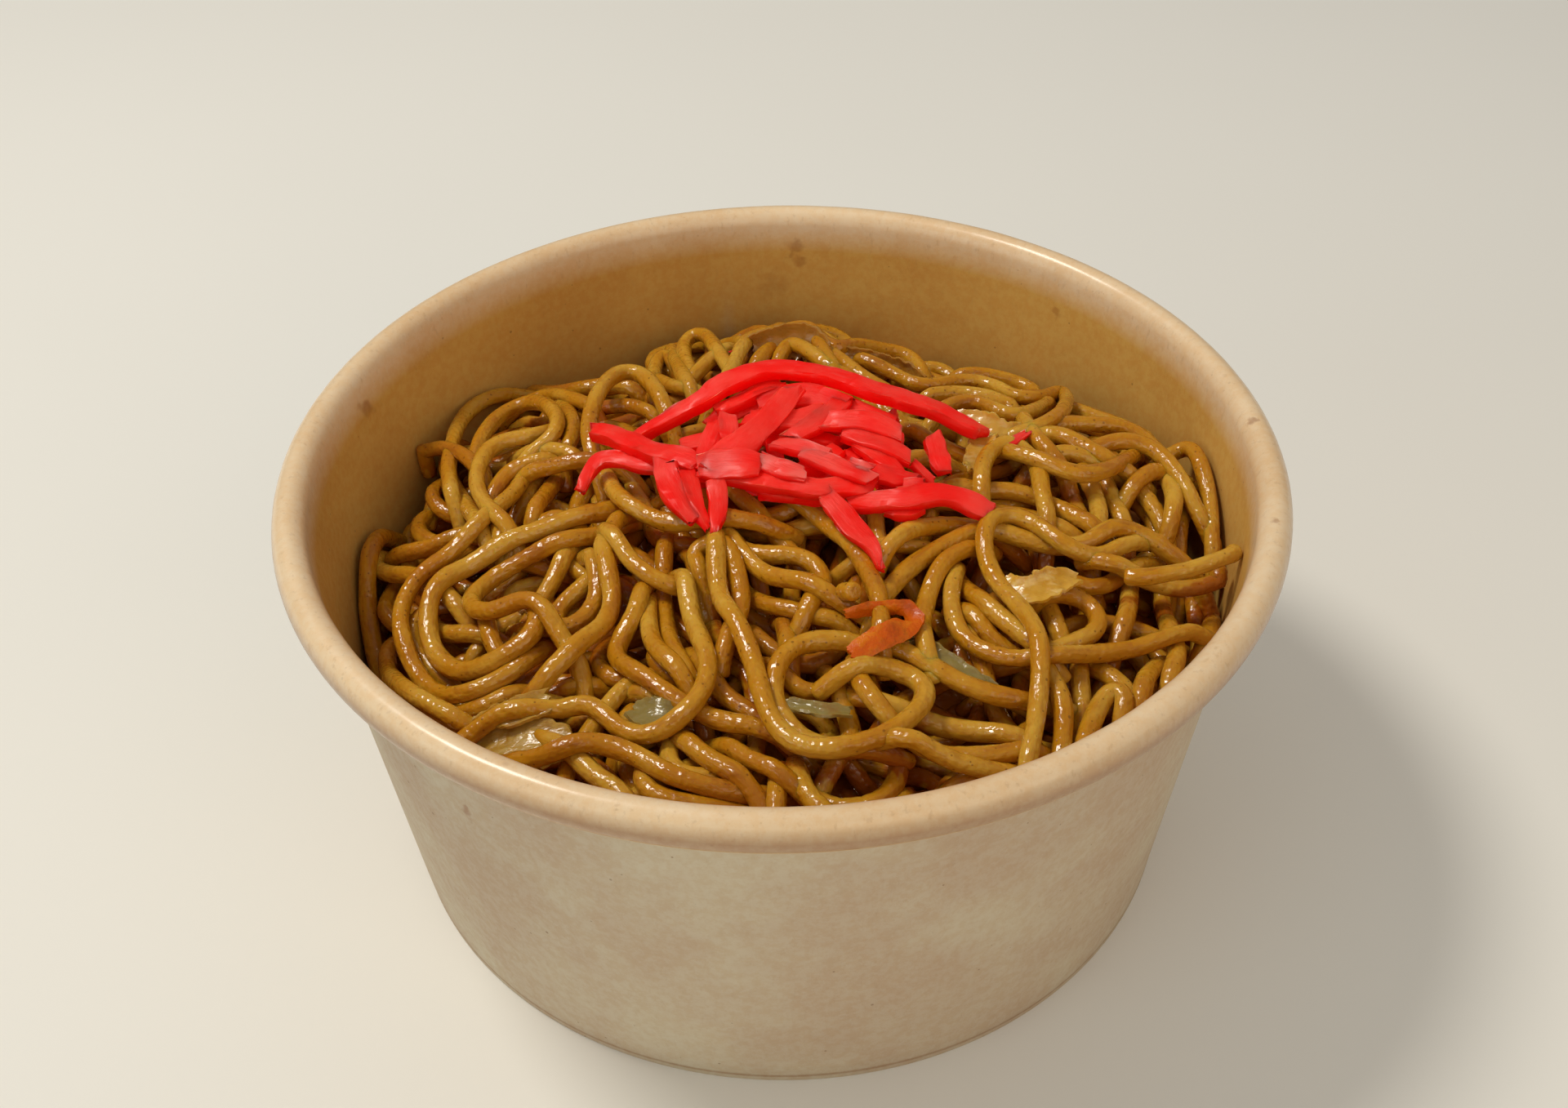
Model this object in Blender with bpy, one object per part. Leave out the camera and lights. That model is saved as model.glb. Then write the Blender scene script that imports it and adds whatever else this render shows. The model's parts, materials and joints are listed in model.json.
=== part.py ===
"""Yakisoba in a round paper bowl with a rolled rim.

The bowl is made the way a board bowl is: a tapered sleeve whose top edge is curled outwards and whose
bottom edge is hemmed upwards, and a flanged disc whose flange hangs in that hem. The fried noodles lie
in it as one heap, with leaves of cabbage and a strip of carrot in shallow hollows of the heap, and a
pile of red pickled ginger on its crown.

Metres, +Z up. The origin is the middle of the ring that the bowl stands on; -Y is the front.
"""

import math

import bmesh
import bpy
from mathutils import Matrix, Vector
from mathutils.bvhtree import BVHTree

MM = 0.001

# Bowl
RIM_RADIUS = 75 * MM  # outside of the rolled rim
BOWL_HEIGHT = 69 * MM
FOOT_RADIUS = 63.2 * MM
BOARD = 0.6 * MM  # thickness of the coated board
ROLL_WIDTH = 5.0 * MM
ROLL_HEIGHT = 6.2 * MM
CURL_END = math.radians(-135)  # where the curled edge stops, just short of the wall
HEM_HEIGHT = 5.0 * MM
BASE_LIFT = 5.6 * MM  # underside of the base disc above the table
CLEARANCE = 0.3 * MM  # between any two pieces
ROUND_STEPS = 60  # facets round the bowl

# Noodle heap
HEAP_CROWN = 60 * MM  # height at the middle
HEAP_EDGE = 50 * MM  # height next to the wall
HEAP_LEAN = 0.055  # rise from left to right
HEAP_SHOULDER = 5 * MM  # how far the edge rounds over beside the wall
HEAP_RINGS = 16
LUMP_HEIGHT = 1.1 * MM

# Ginger pile
GINGER_CENTRE = Vector((1 * MM, 6 * MM))
GINGER_HALF_LENGTH = 30.5 * MM
GINGER_HALF_DEPTH = 19.5 * MM
GINGER_HEIGHT = 7.4 * MM
GINGER_EDGE = 1.8 * MM
GINGER_STEPS = 40
GINGER_RINGS = 7

# Cabbage leaves: middle, half length, half width, turn in degrees, ruffles along the rim
LEAVES = {
    "cabbage_back": (Vector((34.5 * MM, 21.5 * MM)), 7.0 * MM, 4.2 * MM, -30, 3),
    "cabbage_right": (Vector((37.5 * MM, -19.5 * MM)), 6.0 * MM, 3.6 * MM, 15, 2),
    "cabbage_left": (Vector((-36 * MM, -40 * MM)), 7.5 * MM, 4.8 * MM, -20, 3),
    "cabbage_front": (Vector((-16.5 * MM, -42 * MM)), 5.5 * MM, 4.2 * MM, -15, 2),
}
LEAF_THICKNESS = 0.9 * MM
LEAF_RUFFLE = 0.5 * MM
LEAF_HOLLOW = 2.2 * MM  # depth of the hollow that a leaf lies in
LEAF_STEPS = 20
LEAF_RINGS = 3

# Carrot: a pared strip that doubles back on itself, as places along it on the heap and its lift above it
CARROT_ROUTE = (
    (9.0, -29.0, 2.2),
    (12.2, -27.6, 2.8),
    (15.6, -28.0, 3.2),
    (17.8, -30.8, 3.0),
    (16.4, -34.0, 2.6),
    (13.0, -36.4, 2.2),
    (9.6, -38.4, 1.9),
)
CARROT_WIDTH = 3.2 * MM
CARROT_THICKNESS = 1.1 * MM


def clear_scene():
    for old in list(bpy.data.objects):
        bpy.data.objects.remove(old)


def food_material(name, colour, roughness):
    material = bpy.data.materials.new(name)
    material.use_nodes = True
    shader = material.node_tree.nodes["Principled BSDF"]
    shader.inputs["Base Color"].default_value = (*colour, 1.0)
    shader.inputs["Roughness"].default_value = roughness
    shader.inputs["Metallic"].default_value = 0.0
    return material


def finish_object(name, mesh_data, material, sharp_degrees=40):
    """Makes the named object of a bmesh, shaded smooth except at its sharp corners."""
    bmesh.ops.recalc_face_normals(mesh_data, faces=mesh_data.faces)
    mesh = bpy.data.meshes.new(name)
    mesh_data.to_mesh(mesh)
    mesh_data.free()
    mesh.shade_smooth()
    mesh.set_sharp_from_angle(angle=math.radians(sharp_degrees))
    mesh.materials.append(material)
    made = bpy.data.objects.new(name, mesh)
    bpy.context.scene.collection.objects.link(made)
    return made


def turned(profile, steps, closed_loop):
    """Spins a profile of (radius, height) points about Z. A closed loop makes a ring, an open one meets the axis."""
    body = bmesh.new()
    points = [body.verts.new((radius, 0.0, height)) for radius, height in profile]
    pairs = list(zip(points, points[1:]))
    if closed_loop:
        pairs.append((points[-1], points[0]))
    edges = [body.edges.new(pair) for pair in pairs]
    bmesh.ops.spin(
        body,
        geom=points + edges,
        cent=(0, 0, 0),
        axis=(0, 0, 1),
        angle=math.tau,
        steps=steps,
        use_merge=True,
    )
    bmesh.ops.remove_doubles(body, verts=body.verts, dist=1e-6)
    return body


def wall_outside(height):
    """Radius of the sleeve's outer face at a height."""
    neck_radius = RIM_RADIUS - ROLL_WIDTH + BOARD
    neck_height = BOWL_HEIGHT - ROLL_HEIGHT / 2
    return FOOT_RADIUS + (neck_radius - FOOT_RADIUS) * height / neck_height


def wall_inside(height):
    return wall_outside(height) - BOARD


def ellipse_arc(centre, half_width, half_height, start, end, steps):
    """Points along an ellipse in the radius-height plane, from one angle to another."""
    arc = []
    for i in range(steps + 1):
        angle = start + (end - start) * i / steps
        arc.append((centre[0] + half_width * math.cos(angle), centre[1] + half_height * math.sin(angle)))
    return arc


def hem_faces():
    """Radii of the hem's channel at the foot: inner face of the wall, outer and inner face of the upturned leg."""
    channel_outer = FOOT_RADIUS - BOARD
    channel_inner = channel_outer - BOARD - 2 * CLEARANCE
    return channel_outer, channel_inner, channel_inner - BOARD


def build_wall(board):
    """The sleeve with its curled rim and its hem, one closed section turned about the axis."""
    roll_centre = (RIM_RADIUS - ROLL_WIDTH / 2, BOWL_HEIGHT - ROLL_HEIGHT / 2)
    half_width, half_height = ROLL_WIDTH / 2, ROLL_HEIGHT / 2
    channel_outer, channel_inner, leg_inner = hem_faces()
    chamfer = 0.2 * MM
    foot = [
        (leg_inner, HEM_HEIGHT),
        (leg_inner, chamfer),
        (leg_inner + chamfer, 0.0),
        (FOOT_RADIUS - chamfer, 0.0),
        (FOOT_RADIUS, chamfer),
    ]
    under_roll = [(wall_outside(roll_centre[1]), roll_centre[1])]
    curl_inside = ellipse_arc(roll_centre, half_width - BOARD, half_height - BOARD, math.pi * 0.86, CURL_END, 9)
    curl_outside = ellipse_arc(roll_centre, half_width, half_height, CURL_END, math.pi, 14)
    channel = [
        (wall_inside(HEM_HEIGHT), HEM_HEIGHT),
        (channel_outer, BOARD),
        (channel_inner, BOARD),
        (channel_inner, HEM_HEIGHT),
    ]
    body = turned(foot + under_roll + curl_inside + curl_outside + channel, ROUND_STEPS, True)
    return finish_object("bowl_wall", body, board)


def build_base(board):
    """The base disc, with the flange that hangs in the hem's channel."""
    channel_outer, channel_inner, _ = hem_faces()
    top = BASE_LIFT + BOARD
    flange_outer = channel_outer - CLEARANCE
    flange_inner = channel_inner + CLEARANCE
    flange_foot = BOARD + CLEARANCE
    bend = 0.5 * MM
    profile = [
        (0.0, BASE_LIFT),
        (flange_inner - bend, BASE_LIFT),
        (flange_inner, BASE_LIFT - bend),
        (flange_inner, flange_foot),
        (flange_outer, flange_foot),
        (flange_outer, top - bend),
        (flange_outer - bend, top),
        (0.0, top),
    ]
    return finish_object("bowl_base", turned(profile, ROUND_STEPS, False), board)


def leaf_hollows(x, y):
    """Depth of the hollows that the leaves lie in."""
    depth = 0.0
    for middle, half_length, half_width, turn, _ in LEAVES.values():
        offset = Matrix.Rotation(math.radians(-turn), 2) @ (Vector((x, y)) - middle)
        reach = math.hypot(offset.x / (half_length * 1.5), offset.y / (half_width * 1.5))
        depth += LEAF_HOLLOW * math.exp(-(reach**4))
    return depth


def lumps(x, y):
    """The uneven top that bundles of noodles make: crossed swells of a few bundle widths."""
    swirl = math.atan2(y, x)
    radius = math.hypot(x, y) / MM
    coils = math.sin(radius / 4.1 + 2.0 * math.sin(swirl * 2 + 0.7))
    folds = math.sin(x / (5.3 * MM) + 1.4) * math.sin(y / (4.6 * MM) - 0.6)
    swell = math.sin(x / (14 * MM) - 0.5) * math.cos(y / (17 * MM) + 0.3)
    return LUMP_HEIGHT * (0.55 * coils * min(1.0, radius / 12) + 0.6 * folds + 0.9 * swell)


def heap_top(x, y):
    """Height of the noodle heap's top at a place."""
    wall = wall_inside(HEAP_EDGE)
    share = min(1.0, math.hypot(x, y) / wall)
    dome = HEAP_EDGE + (HEAP_CROWN - HEAP_EDGE) * (1 - share**2)
    shoulder = HEAP_SHOULDER * share**14
    return dome + HEAP_LEAN * x - shoulder + lumps(x, y) - leaf_hollows(x, y)


def build_noodles(material):
    """The heap: it fills the bowl to the wall, and its top follows heap_top. Also gives its surface to rest on."""
    floor = BASE_LIFT + BOARD + CLEARANCE
    low_edge = HEAP_EDGE - HEAP_SHOULDER - 6 * MM
    floor_radius = wall_inside(floor) - CLEARANCE
    top_radius = wall_inside(low_edge) - CLEARANCE
    profile = [(0.0, floor), (floor_radius, floor), (top_radius, low_edge)]
    marked_height = HEAP_CROWN + 0.1  # above every other point, so the top's rings are told from the rest
    for ring in range(HEAP_RINGS + 1):
        profile.append((top_radius * (1 - ring / HEAP_RINGS), marked_height))
    body = turned(profile, ROUND_STEPS, False)
    for vertex in body.verts:
        if vertex.co.z > HEAP_CROWN + 0.05:
            vertex.co.z = heap_top(vertex.co.x, vertex.co.y)
    surface = BVHTree.FromBMesh(body)
    finish_object("noodles", body, material, 60)
    return surface


def resting_height(surface, x, y):
    """Height just clear of the heap at a place."""
    hit = surface.ray_cast(Vector((x, y, 2 * HEAP_CROWN)), Vector((0, 0, -1)))[0]
    return hit.z + 2 * CLEARANCE


def pile_outline(angle):
    """Reach of the ginger pile in a direction, with the strips' ends as lobes."""
    oval = 1 / math.hypot(math.cos(angle) / GINGER_HALF_LENGTH, math.sin(angle) / GINGER_HALF_DEPTH)
    return oval * (1 + 0.10 * math.sin(5 * angle + 0.8) + 0.07 * math.sin(9 * angle - 0.4))


def build_ginger(material, surface):
    """The pile of ginger strips: a lens that rests on the heap, ridged like crossed strips."""
    profile = [(ring / GINGER_RINGS, 0.0) for ring in range(GINGER_RINGS + 1)]
    profile += [(1 - ring / GINGER_RINGS, 1.0) for ring in range(GINGER_RINGS + 1)]
    body = turned(profile, GINGER_STEPS, False)
    for vertex in body.verts:
        share = min(1.0, math.hypot(vertex.co.x, vertex.co.y))
        angle = math.atan2(vertex.co.y, vertex.co.x)
        reach = share * pile_outline(angle)
        x = GINGER_CENTRE.x + reach * math.cos(angle)
        y = GINGER_CENTRE.y + reach * math.sin(angle)
        ground = resting_height(surface, x, y)
        ridges = 0.8 * MM * math.sin(x / (2.7 * MM) + y / (3.9 * MM)) * (1 - share**2)
        thickness = GINGER_EDGE + (GINGER_HEIGHT - GINGER_EDGE) * (1 - share**2) ** 0.8 + ridges
        vertex.co = (x, y, ground + (thickness if vertex.co.z > 0.5 else 0.0))
    return finish_object("pickled_ginger", body, material, 50)


def build_leaf(name, material, surface):
    """One torn piece of cabbage: an oval sheet with a ruffled edge, lying on the heap in its hollow."""
    middle, half_length, half_width, turn, ruffles = LEAVES[name]
    profile = [(ring / LEAF_RINGS, 0.0) for ring in range(LEAF_RINGS + 1)]
    profile += [(1 - ring / LEAF_RINGS, 1.0) for ring in range(LEAF_RINGS + 1)]
    body = turned(profile, LEAF_STEPS, False)
    turning = Matrix.Rotation(math.radians(turn), 2)
    for vertex in body.verts:
        share = math.hypot(vertex.co.x, vertex.co.y)
        angle = math.atan2(vertex.co.y, vertex.co.x)
        torn = 1 + 0.14 * math.sin(3 * angle + middle.x / (7 * MM)) * share
        flat = Vector((vertex.co.x * half_length, vertex.co.y * half_width)) * torn
        place = middle + turning @ flat
        ruffle = LEAF_RUFFLE * (1 + math.sin(ruffles * angle)) * share**2
        underside = resting_height(surface, place.x, place.y) + ruffle
        vertex.co = (place.x, place.y, underside + (LEAF_THICKNESS if vertex.co.z > 0.5 else 0.0))
    return finish_object(name, body, material)


def build_carrot(material, surface):
    """The strip of carrot: a flat section extruded along a smooth route that doubles back."""
    knots = []
    for x, y, lift in CARROT_ROUTE:
        knots.append(Vector((x * MM, y * MM, resting_height(surface, x * MM, y * MM) + lift * MM)))
    body = bmesh.new()
    last = len(knots) - 1
    face = None
    for i, place in enumerate(knots):
        along = (knots[min(i + 1, last)] - knots[max(i - 1, 0)]).normalized()
        upright = Vector((0, 0, 1)) - along * along.z
        across = along.cross(upright).normalized()
        lean = math.radians(15 + 40 * i / last)
        broad = (upright.normalized() * math.cos(lean) + across * math.sin(lean)).normalized()
        thin = along.cross(broad).normalized()
        taper = 0.55 + 0.45 * math.sin(math.pi * (i + 0.6) / (last + 1.2))
        half_broad = broad * CARROT_WIDTH / 2 * taper
        half_thin = thin * CARROT_THICKNESS / 2
        corners = [
            place - half_broad - half_thin,
            place + half_broad - half_thin,
            place + half_broad + half_thin,
            place - half_broad + half_thin,
        ]
        if face is None:
            face = body.faces.new([body.verts.new(corner) for corner in corners])
            loop = list(face.verts)
            continue
        made = bmesh.ops.extrude_face_region(body, geom=[face])
        new_face = next(item for item in made["geom"] if isinstance(item, bmesh.types.BMFace))
        moved = sorted(
            (item for item in made["geom"] if isinstance(item, bmesh.types.BMVert)),
            key=lambda vertex: min(range(4), key=lambda k: (vertex.co - loop[k].co).length),
        )
        for vertex, corner in zip(moved, corners):
            vertex.co = corner
        if i > 1:
            bmesh.ops.delete(body, geom=[face], context="FACES_ONLY")
        face = new_face
        loop = moved
    return finish_object("carrot_strip", body, material)


def main():
    clear_scene()
    board = food_material("kraft_board", (0.52, 0.37, 0.22), 0.55)
    noodle = food_material("noodle", (0.45, 0.24, 0.06), 0.35)
    ginger = food_material("red_ginger", (0.85, 0.05, 0.06), 0.4)
    cabbage = food_material("cabbage", (0.62, 0.50, 0.20), 0.35)
    carrot = food_material("carrot", (0.72, 0.20, 0.03), 0.4)
    build_wall(board)
    build_base(board)
    surface = build_noodles(noodle)
    build_ginger(ginger, surface)
    for name in LEAVES:
        build_leaf(name, cabbage, surface)
    build_carrot(carrot, surface)


main()
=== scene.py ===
import json
import math

import bmesh
import bpy
import numpy as np
from mathutils import Matrix, Vector, noise

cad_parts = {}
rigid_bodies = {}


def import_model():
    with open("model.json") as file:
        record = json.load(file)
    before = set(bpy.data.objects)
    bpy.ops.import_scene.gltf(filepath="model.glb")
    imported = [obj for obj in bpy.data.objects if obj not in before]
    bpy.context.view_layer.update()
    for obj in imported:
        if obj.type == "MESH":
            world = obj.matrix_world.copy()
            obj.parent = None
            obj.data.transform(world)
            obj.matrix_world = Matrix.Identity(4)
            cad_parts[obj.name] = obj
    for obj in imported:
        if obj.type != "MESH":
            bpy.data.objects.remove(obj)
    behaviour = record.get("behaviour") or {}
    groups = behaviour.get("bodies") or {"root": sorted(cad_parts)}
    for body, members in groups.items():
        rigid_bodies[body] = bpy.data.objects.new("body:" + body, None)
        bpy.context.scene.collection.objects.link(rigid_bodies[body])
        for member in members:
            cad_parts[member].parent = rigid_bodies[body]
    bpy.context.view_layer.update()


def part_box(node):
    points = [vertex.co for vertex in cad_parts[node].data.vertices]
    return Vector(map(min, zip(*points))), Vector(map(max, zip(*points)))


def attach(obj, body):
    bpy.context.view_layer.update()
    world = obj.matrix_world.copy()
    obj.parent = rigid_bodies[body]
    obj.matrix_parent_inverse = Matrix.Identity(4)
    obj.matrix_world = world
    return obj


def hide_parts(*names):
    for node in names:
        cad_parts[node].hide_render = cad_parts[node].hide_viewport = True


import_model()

mm = 0.001

# places and sizes that every piece shares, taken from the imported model
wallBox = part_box("bowl_wall")
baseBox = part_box("bowl_base")
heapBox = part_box("noodles")
rimRadius = wallBox[1][0]
bowlHeight = wallBox[1][2]
board = 0.6 * mm
footRadius = baseBox[1][0] + board + 0.3 * mm


class Wire:
    # a socket of a node tree; Python's operators on it add Math nodes

    def __init__(self, tree, socket=None):
        self.tree = tree
        self.socket = socket

    def node(self, kind, settings=None, inputs=None, output=0):
        made = self.tree.nodes.new("ShaderNode" + kind)
        for name, value in (settings or {}).items():
            setattr(made, name, value)
        for name, value in (inputs or {}).items():
            if isinstance(value, Wire):
                self.tree.links.new(value.socket, made.inputs[name])
            else:
                made.inputs[name].default_value = value
        return Wire(self.tree, made.outputs[output])

    def math(self, operation, *values):
        return self.node("Math", {"operation": operation}, dict(enumerate(values)))

    def __add__(self, other):
        return self.math("ADD", self, other)

    __radd__ = __add__

    def __sub__(self, other):
        return self.math("SUBTRACT", self, other)

    def __rsub__(self, other):
        return self.math("SUBTRACT", other, self)

    def __mul__(self, other):
        return self.math("MULTIPLY", self, other)

    __rmul__ = __mul__

    def step(self, low, high):
        # 0 below low, 1 above high, smooth between
        inputs = {"Value": self, "From Min": low, "From Max": high}
        return self.node("MapRange", {"interpolation_type": "SMOOTHSTEP"}, inputs)

    def mix(self, factor, first, second, blend="MIX"):
        # colours only
        inputs = {0: factor, 6: first, 7: second}
        return self.node("Mix", {"data_type": "RGBA", "blend_type": blend}, inputs, 2)

    def place(self, stretch=(1, 1, 1)):
        # object coordinates, in metres
        return self.stretched(self.node("TexCoord", output="Object"), stretch)

    def stretched(self, where, stretch):
        return self.node("Mapping", None, {"Vector": where, "Scale": stretch})

    def grain(self, where, scale, detail=2.0, roughness=0.5):
        inputs = {"Vector": where, "Scale": scale, "Detail": detail, "Roughness": roughness}
        return self.node("TexNoise", None, inputs)

    def cells(self, where, scale, feature="F1"):
        return self.node("TexVoronoi", {"feature": feature}, {"Vector": where, "Scale": scale})

    def attribute(self, name):
        return self.node("Attribute", {"attribute_name": name}, output="Fac")

    def bump(self, height, distance, strength=1.0):
        return self.node("Bump", None, {"Height": height, "Distance": distance, "Strength": strength})


def newMaterial(name, constants):
    made = bpy.data.materials.new(name)
    made.use_nodes = True
    shader = made.node_tree.nodes["Principled BSDF"]
    for socket, value in constants.items():
        shader.inputs[socket].default_value = value
    return made, shader, Wire(made.node_tree)


def feed(shader, **links):
    # links by socket name, with underscores for spaces
    for name, wire in links.items():
        wire.tree.links.new(wire.socket, shader.inputs[name.replace("_", " ")])


def rgb(red, green, blue):
    # an sRGB colour, 0 to 255, as the linear colour that sockets take
    linear = [((v / 255 + 0.055) / 1.055) ** 2.4 if v > 10 else v / 255 / 12.92 for v in (red, green, blue)]
    return (*linear, 1.0)


kraftLook = {
    # the inside and the rolled rim are one coated board: the rim's lighter, creamier colours are painted
    # sheen, and the inside's deeper, more saturated colours are painted light bounced between the inner walls
    "inside": rgb(212, 168, 86),
    "insideDark": rgb(196, 144, 66),
    "rim": rgb(238, 212, 174),
    "rimDark": rgb(222, 186, 138),
    # painted shade on the roll's outward, downward-facing side
    "rimShade": rgb(164, 126, 86),
    # a thin painted highlight line along the lowest edge of the roll
    "lip": rgb(250, 232, 204),
    "outside": rgb(203, 190, 164),
    "outsideDark": rgb(190, 166, 140),
    "fibre": rgb(150, 108, 66),
    "speck": rgb(110, 70, 36),
    "stain": rgb(140, 72, 16),
}


# marks on the board: place, size and strength
kraftMarks = [
    ((3.5 * mm, 69 * mm, 62 * mm), 2.2 * mm, 0.4),
    ((3.9 * mm, 69 * mm, 60 * mm), 2 * mm, 0.35),
    ((-0.8 * mm, 68.6 * mm, 55 * mm), 4 * mm, 0.22),
    ((-42.5 * mm, -54 * mm, 49.3 * mm), 1.6 * mm, 0.45),
    ((71.2 * mm, 4.7 * mm, 68.4 * mm), 1.2 * mm, 0.5),
    ((69.1 * mm, -18.9 * mm, 68.4 * mm), 1.2 * mm, 0.45),
    ((48 * mm, 50 * mm, 60 * mm), 1.4 * mm, 0.35),
]


def kraftMaterial():
    finish = {"Coat Roughness": 0.22, "Coat IOR": 1.45, "Specular IOR Level": 0.4}
    made, shader, wire = newMaterial("kraftBoard", finish)
    look = kraftLook
    inside = wire.attribute("inside")
    rim = wire.attribute("rim")
    where = wire.place()
    cloud = wire.grain(where, 38.0, 4.0, 0.6).step(0.32, 0.68)
    mottle = wire.grain(where, 640.0, 3.0, 0.7).step(0.34, 0.66)
    fibres = wire.grain(wire.place((1, 1, 0.4)), 1100.0, 3.0, 0.6).step(0.56, 0.74)
    dots = wire.cells(where, 260.0)
    speckSize = wire.grain(where, 90.0, 2.0)
    specks = (speckSize * 0.11 - dots).step(0.0, 0.02) * (1 - rim * 0.7)
    height = wire.node("SeparateXYZ", None, {"Vector": where}, "Z")
    stains = wire.grain(wire.place((1, 1, 0.8)), 75.0, 3.0, 0.55).step(0.71, 0.76) * inside
    plain = wire.mix(cloud * 0.75, look["outside"], look["outsideDark"])
    lined = wire.mix(cloud * 0.6, look["inside"], look["insideDark"])
    rolled = wire.mix(cloud * 0.6, look["rim"], look["rimDark"])
    # painted shade: the roll's outward lower side darkened
    rolled = wire.mix(wire.attribute("side") * 0.85, rolled, look["rimShade"])
    # painted highlight: a thin bright line along the lowest edge of the roll
    rolled = wire.mix(wire.attribute("lip"), rolled, look["lip"])
    # the roll gets lighter colours than the inside of the same board: painted sheen on the roll, painted
    # bounce light on the inside
    colour = wire.mix(rim, wire.mix(inside, plain, lined), rolled)
    hem = height.step(1.0 * mm, 1.3 * mm) * (1 - height.step(1.5 * mm, 1.9 * mm))
    colour = wire.mix(hem * (1 - inside) * 0.5, colour, look["fibre"])
    colour = wire.mix(mottle * 0.3, colour, look["fibre"], "SOFT_LIGHT")
    colour = wire.mix(fibres * (0.08 + rim * 0.1), colour, look["fibre"])
    colour = wire.mix(specks * 0.5, colour, look["speck"])
    ragged = wire.grain(where, 500.0, 3.0) * 5 * mm - 2.5 * mm
    for spot, size, strength in kraftMarks:
        apart = wire.node("VectorMath", {"operation": "DISTANCE"}, {0: where, 1: spot}, "Value") + ragged
        colour = wire.mix((1 - apart.step(size * 0.2, size)) * strength, colour, look["stain"])
    colour = wire.mix(stains * 0.55, colour, look["stain"])
    feed(
        shader,
        Base_Color=colour,
        Roughness=0.62 - inside * 0.16 + mottle * 0.08,
        Coat_Weight=inside * 0.3 + rim * 0.5,
        Normal=wire.bump(mottle * 0.5 + fibres * 0.3, 0.05 * mm, 0.5),
    )
    return made


noodleLook = {
    "pale": rgb(208, 160, 54),
    "golden": rgb(194, 134, 20),
    "brown": rgb(178, 108, 22),
    "sauce": rgb(150, 80, 20),
    # painted shade under the top of the pile, redder to stand in for light bounced between strands, with some
    # pooled sauce
    "deep": rgb(160, 72, 8),
    "speck": rgb(90, 42, 10),
}


def noodleMaterial():
    made, shader, wire = newMaterial("friedNoodle", {
        "Subsurface Weight": 0.45,
        "Subsurface Scale": 1.3 * mm,
        "Subsurface Radius": (1.0, 0.45, 0.1),
        "Specular IOR Level": 0.6,
        "Coat Roughness": 0.14,
        "Coat IOR": 1.45,
    })
    look = noodleLook
    where = wire.place()
    lie = wire.node("Attribute", {"attribute_name": "lie"}, output="Vector")
    strand = wire.attribute("strand")
    depth = wire.attribute("depth")
    clouds = wire.grain(where, 75.0, 3.0, 0.55)
    bands = wire.grain(wire.stretched(lie, (0.3, 1, 1)), 200.0, 2.0, 0.55)
    blots = wire.grain(wire.stretched(lie, (0.35, 1, 1)), 700.0, 3.0, 0.6)
    streaks = wire.grain(wire.stretched(lie, (0.28, 1, 1)), 1300.0, 2.0, 0.6)
    tone = clouds * 0.5 + bands * 0.5 + strand * 0.04
    colour = wire.mix(tone.step(0.36, 0.54), look["pale"], look["golden"])
    colour = wire.mix(tone.step(0.48, 0.68) * 0.7, colour, look["brown"])
    colour = wire.mix(streaks.step(0.48, 0.7) * 0.35, colour, look["brown"])
    colour = wire.mix((blots * 0.7 + bands * 0.6).step(0.70, 0.84) * 0.4, colour, look["sauce"])
    dots = wire.cells(where, 700.0)
    specks = (clouds * 0.3 - dots).step(0.0, 0.06)
    colour = wire.mix(specks * 0.5, colour, look["speck"])
    # painted shade, with some pooled sauce, the further a point lies under the top of the pile
    colour = wire.mix(depth.step(0.1, 1.0) * 0.8, colour, look["deep"])
    fine = wire.grain(where, 2600.0, 1.0, 0.5)
    beads = wire.grain(where, 1250.0, 0.0, 0.5)
    swell = wire.grain(where, 480.0, 2.0, 0.6)
    wet = (clouds * 0.3 + beads * 0.35 + fine * 0.5).step(0.50, 0.64)
    feed(
        shader,
        Base_Color=colour,
        Roughness=0.1 + blots * 0.2,
        Coat_Weight=wet * 0.2,
        Normal=wire.bump(swell * 0.4 + beads * 0.6 + streaks * 0.5 + fine * 0.06, 0.3 * mm, 1.0),
    )
    return made


gingerLook = {
    "top": rgb(255, 60, 48),
    "red": rgb(255, 24, 14),
    "pale": rgb(255, 108, 98),
    # painted shade: the deep red given to the strips' undersides and to strips under the top of the ginger
    "shadeRed": rgb(255, 2, 0),
}


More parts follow.
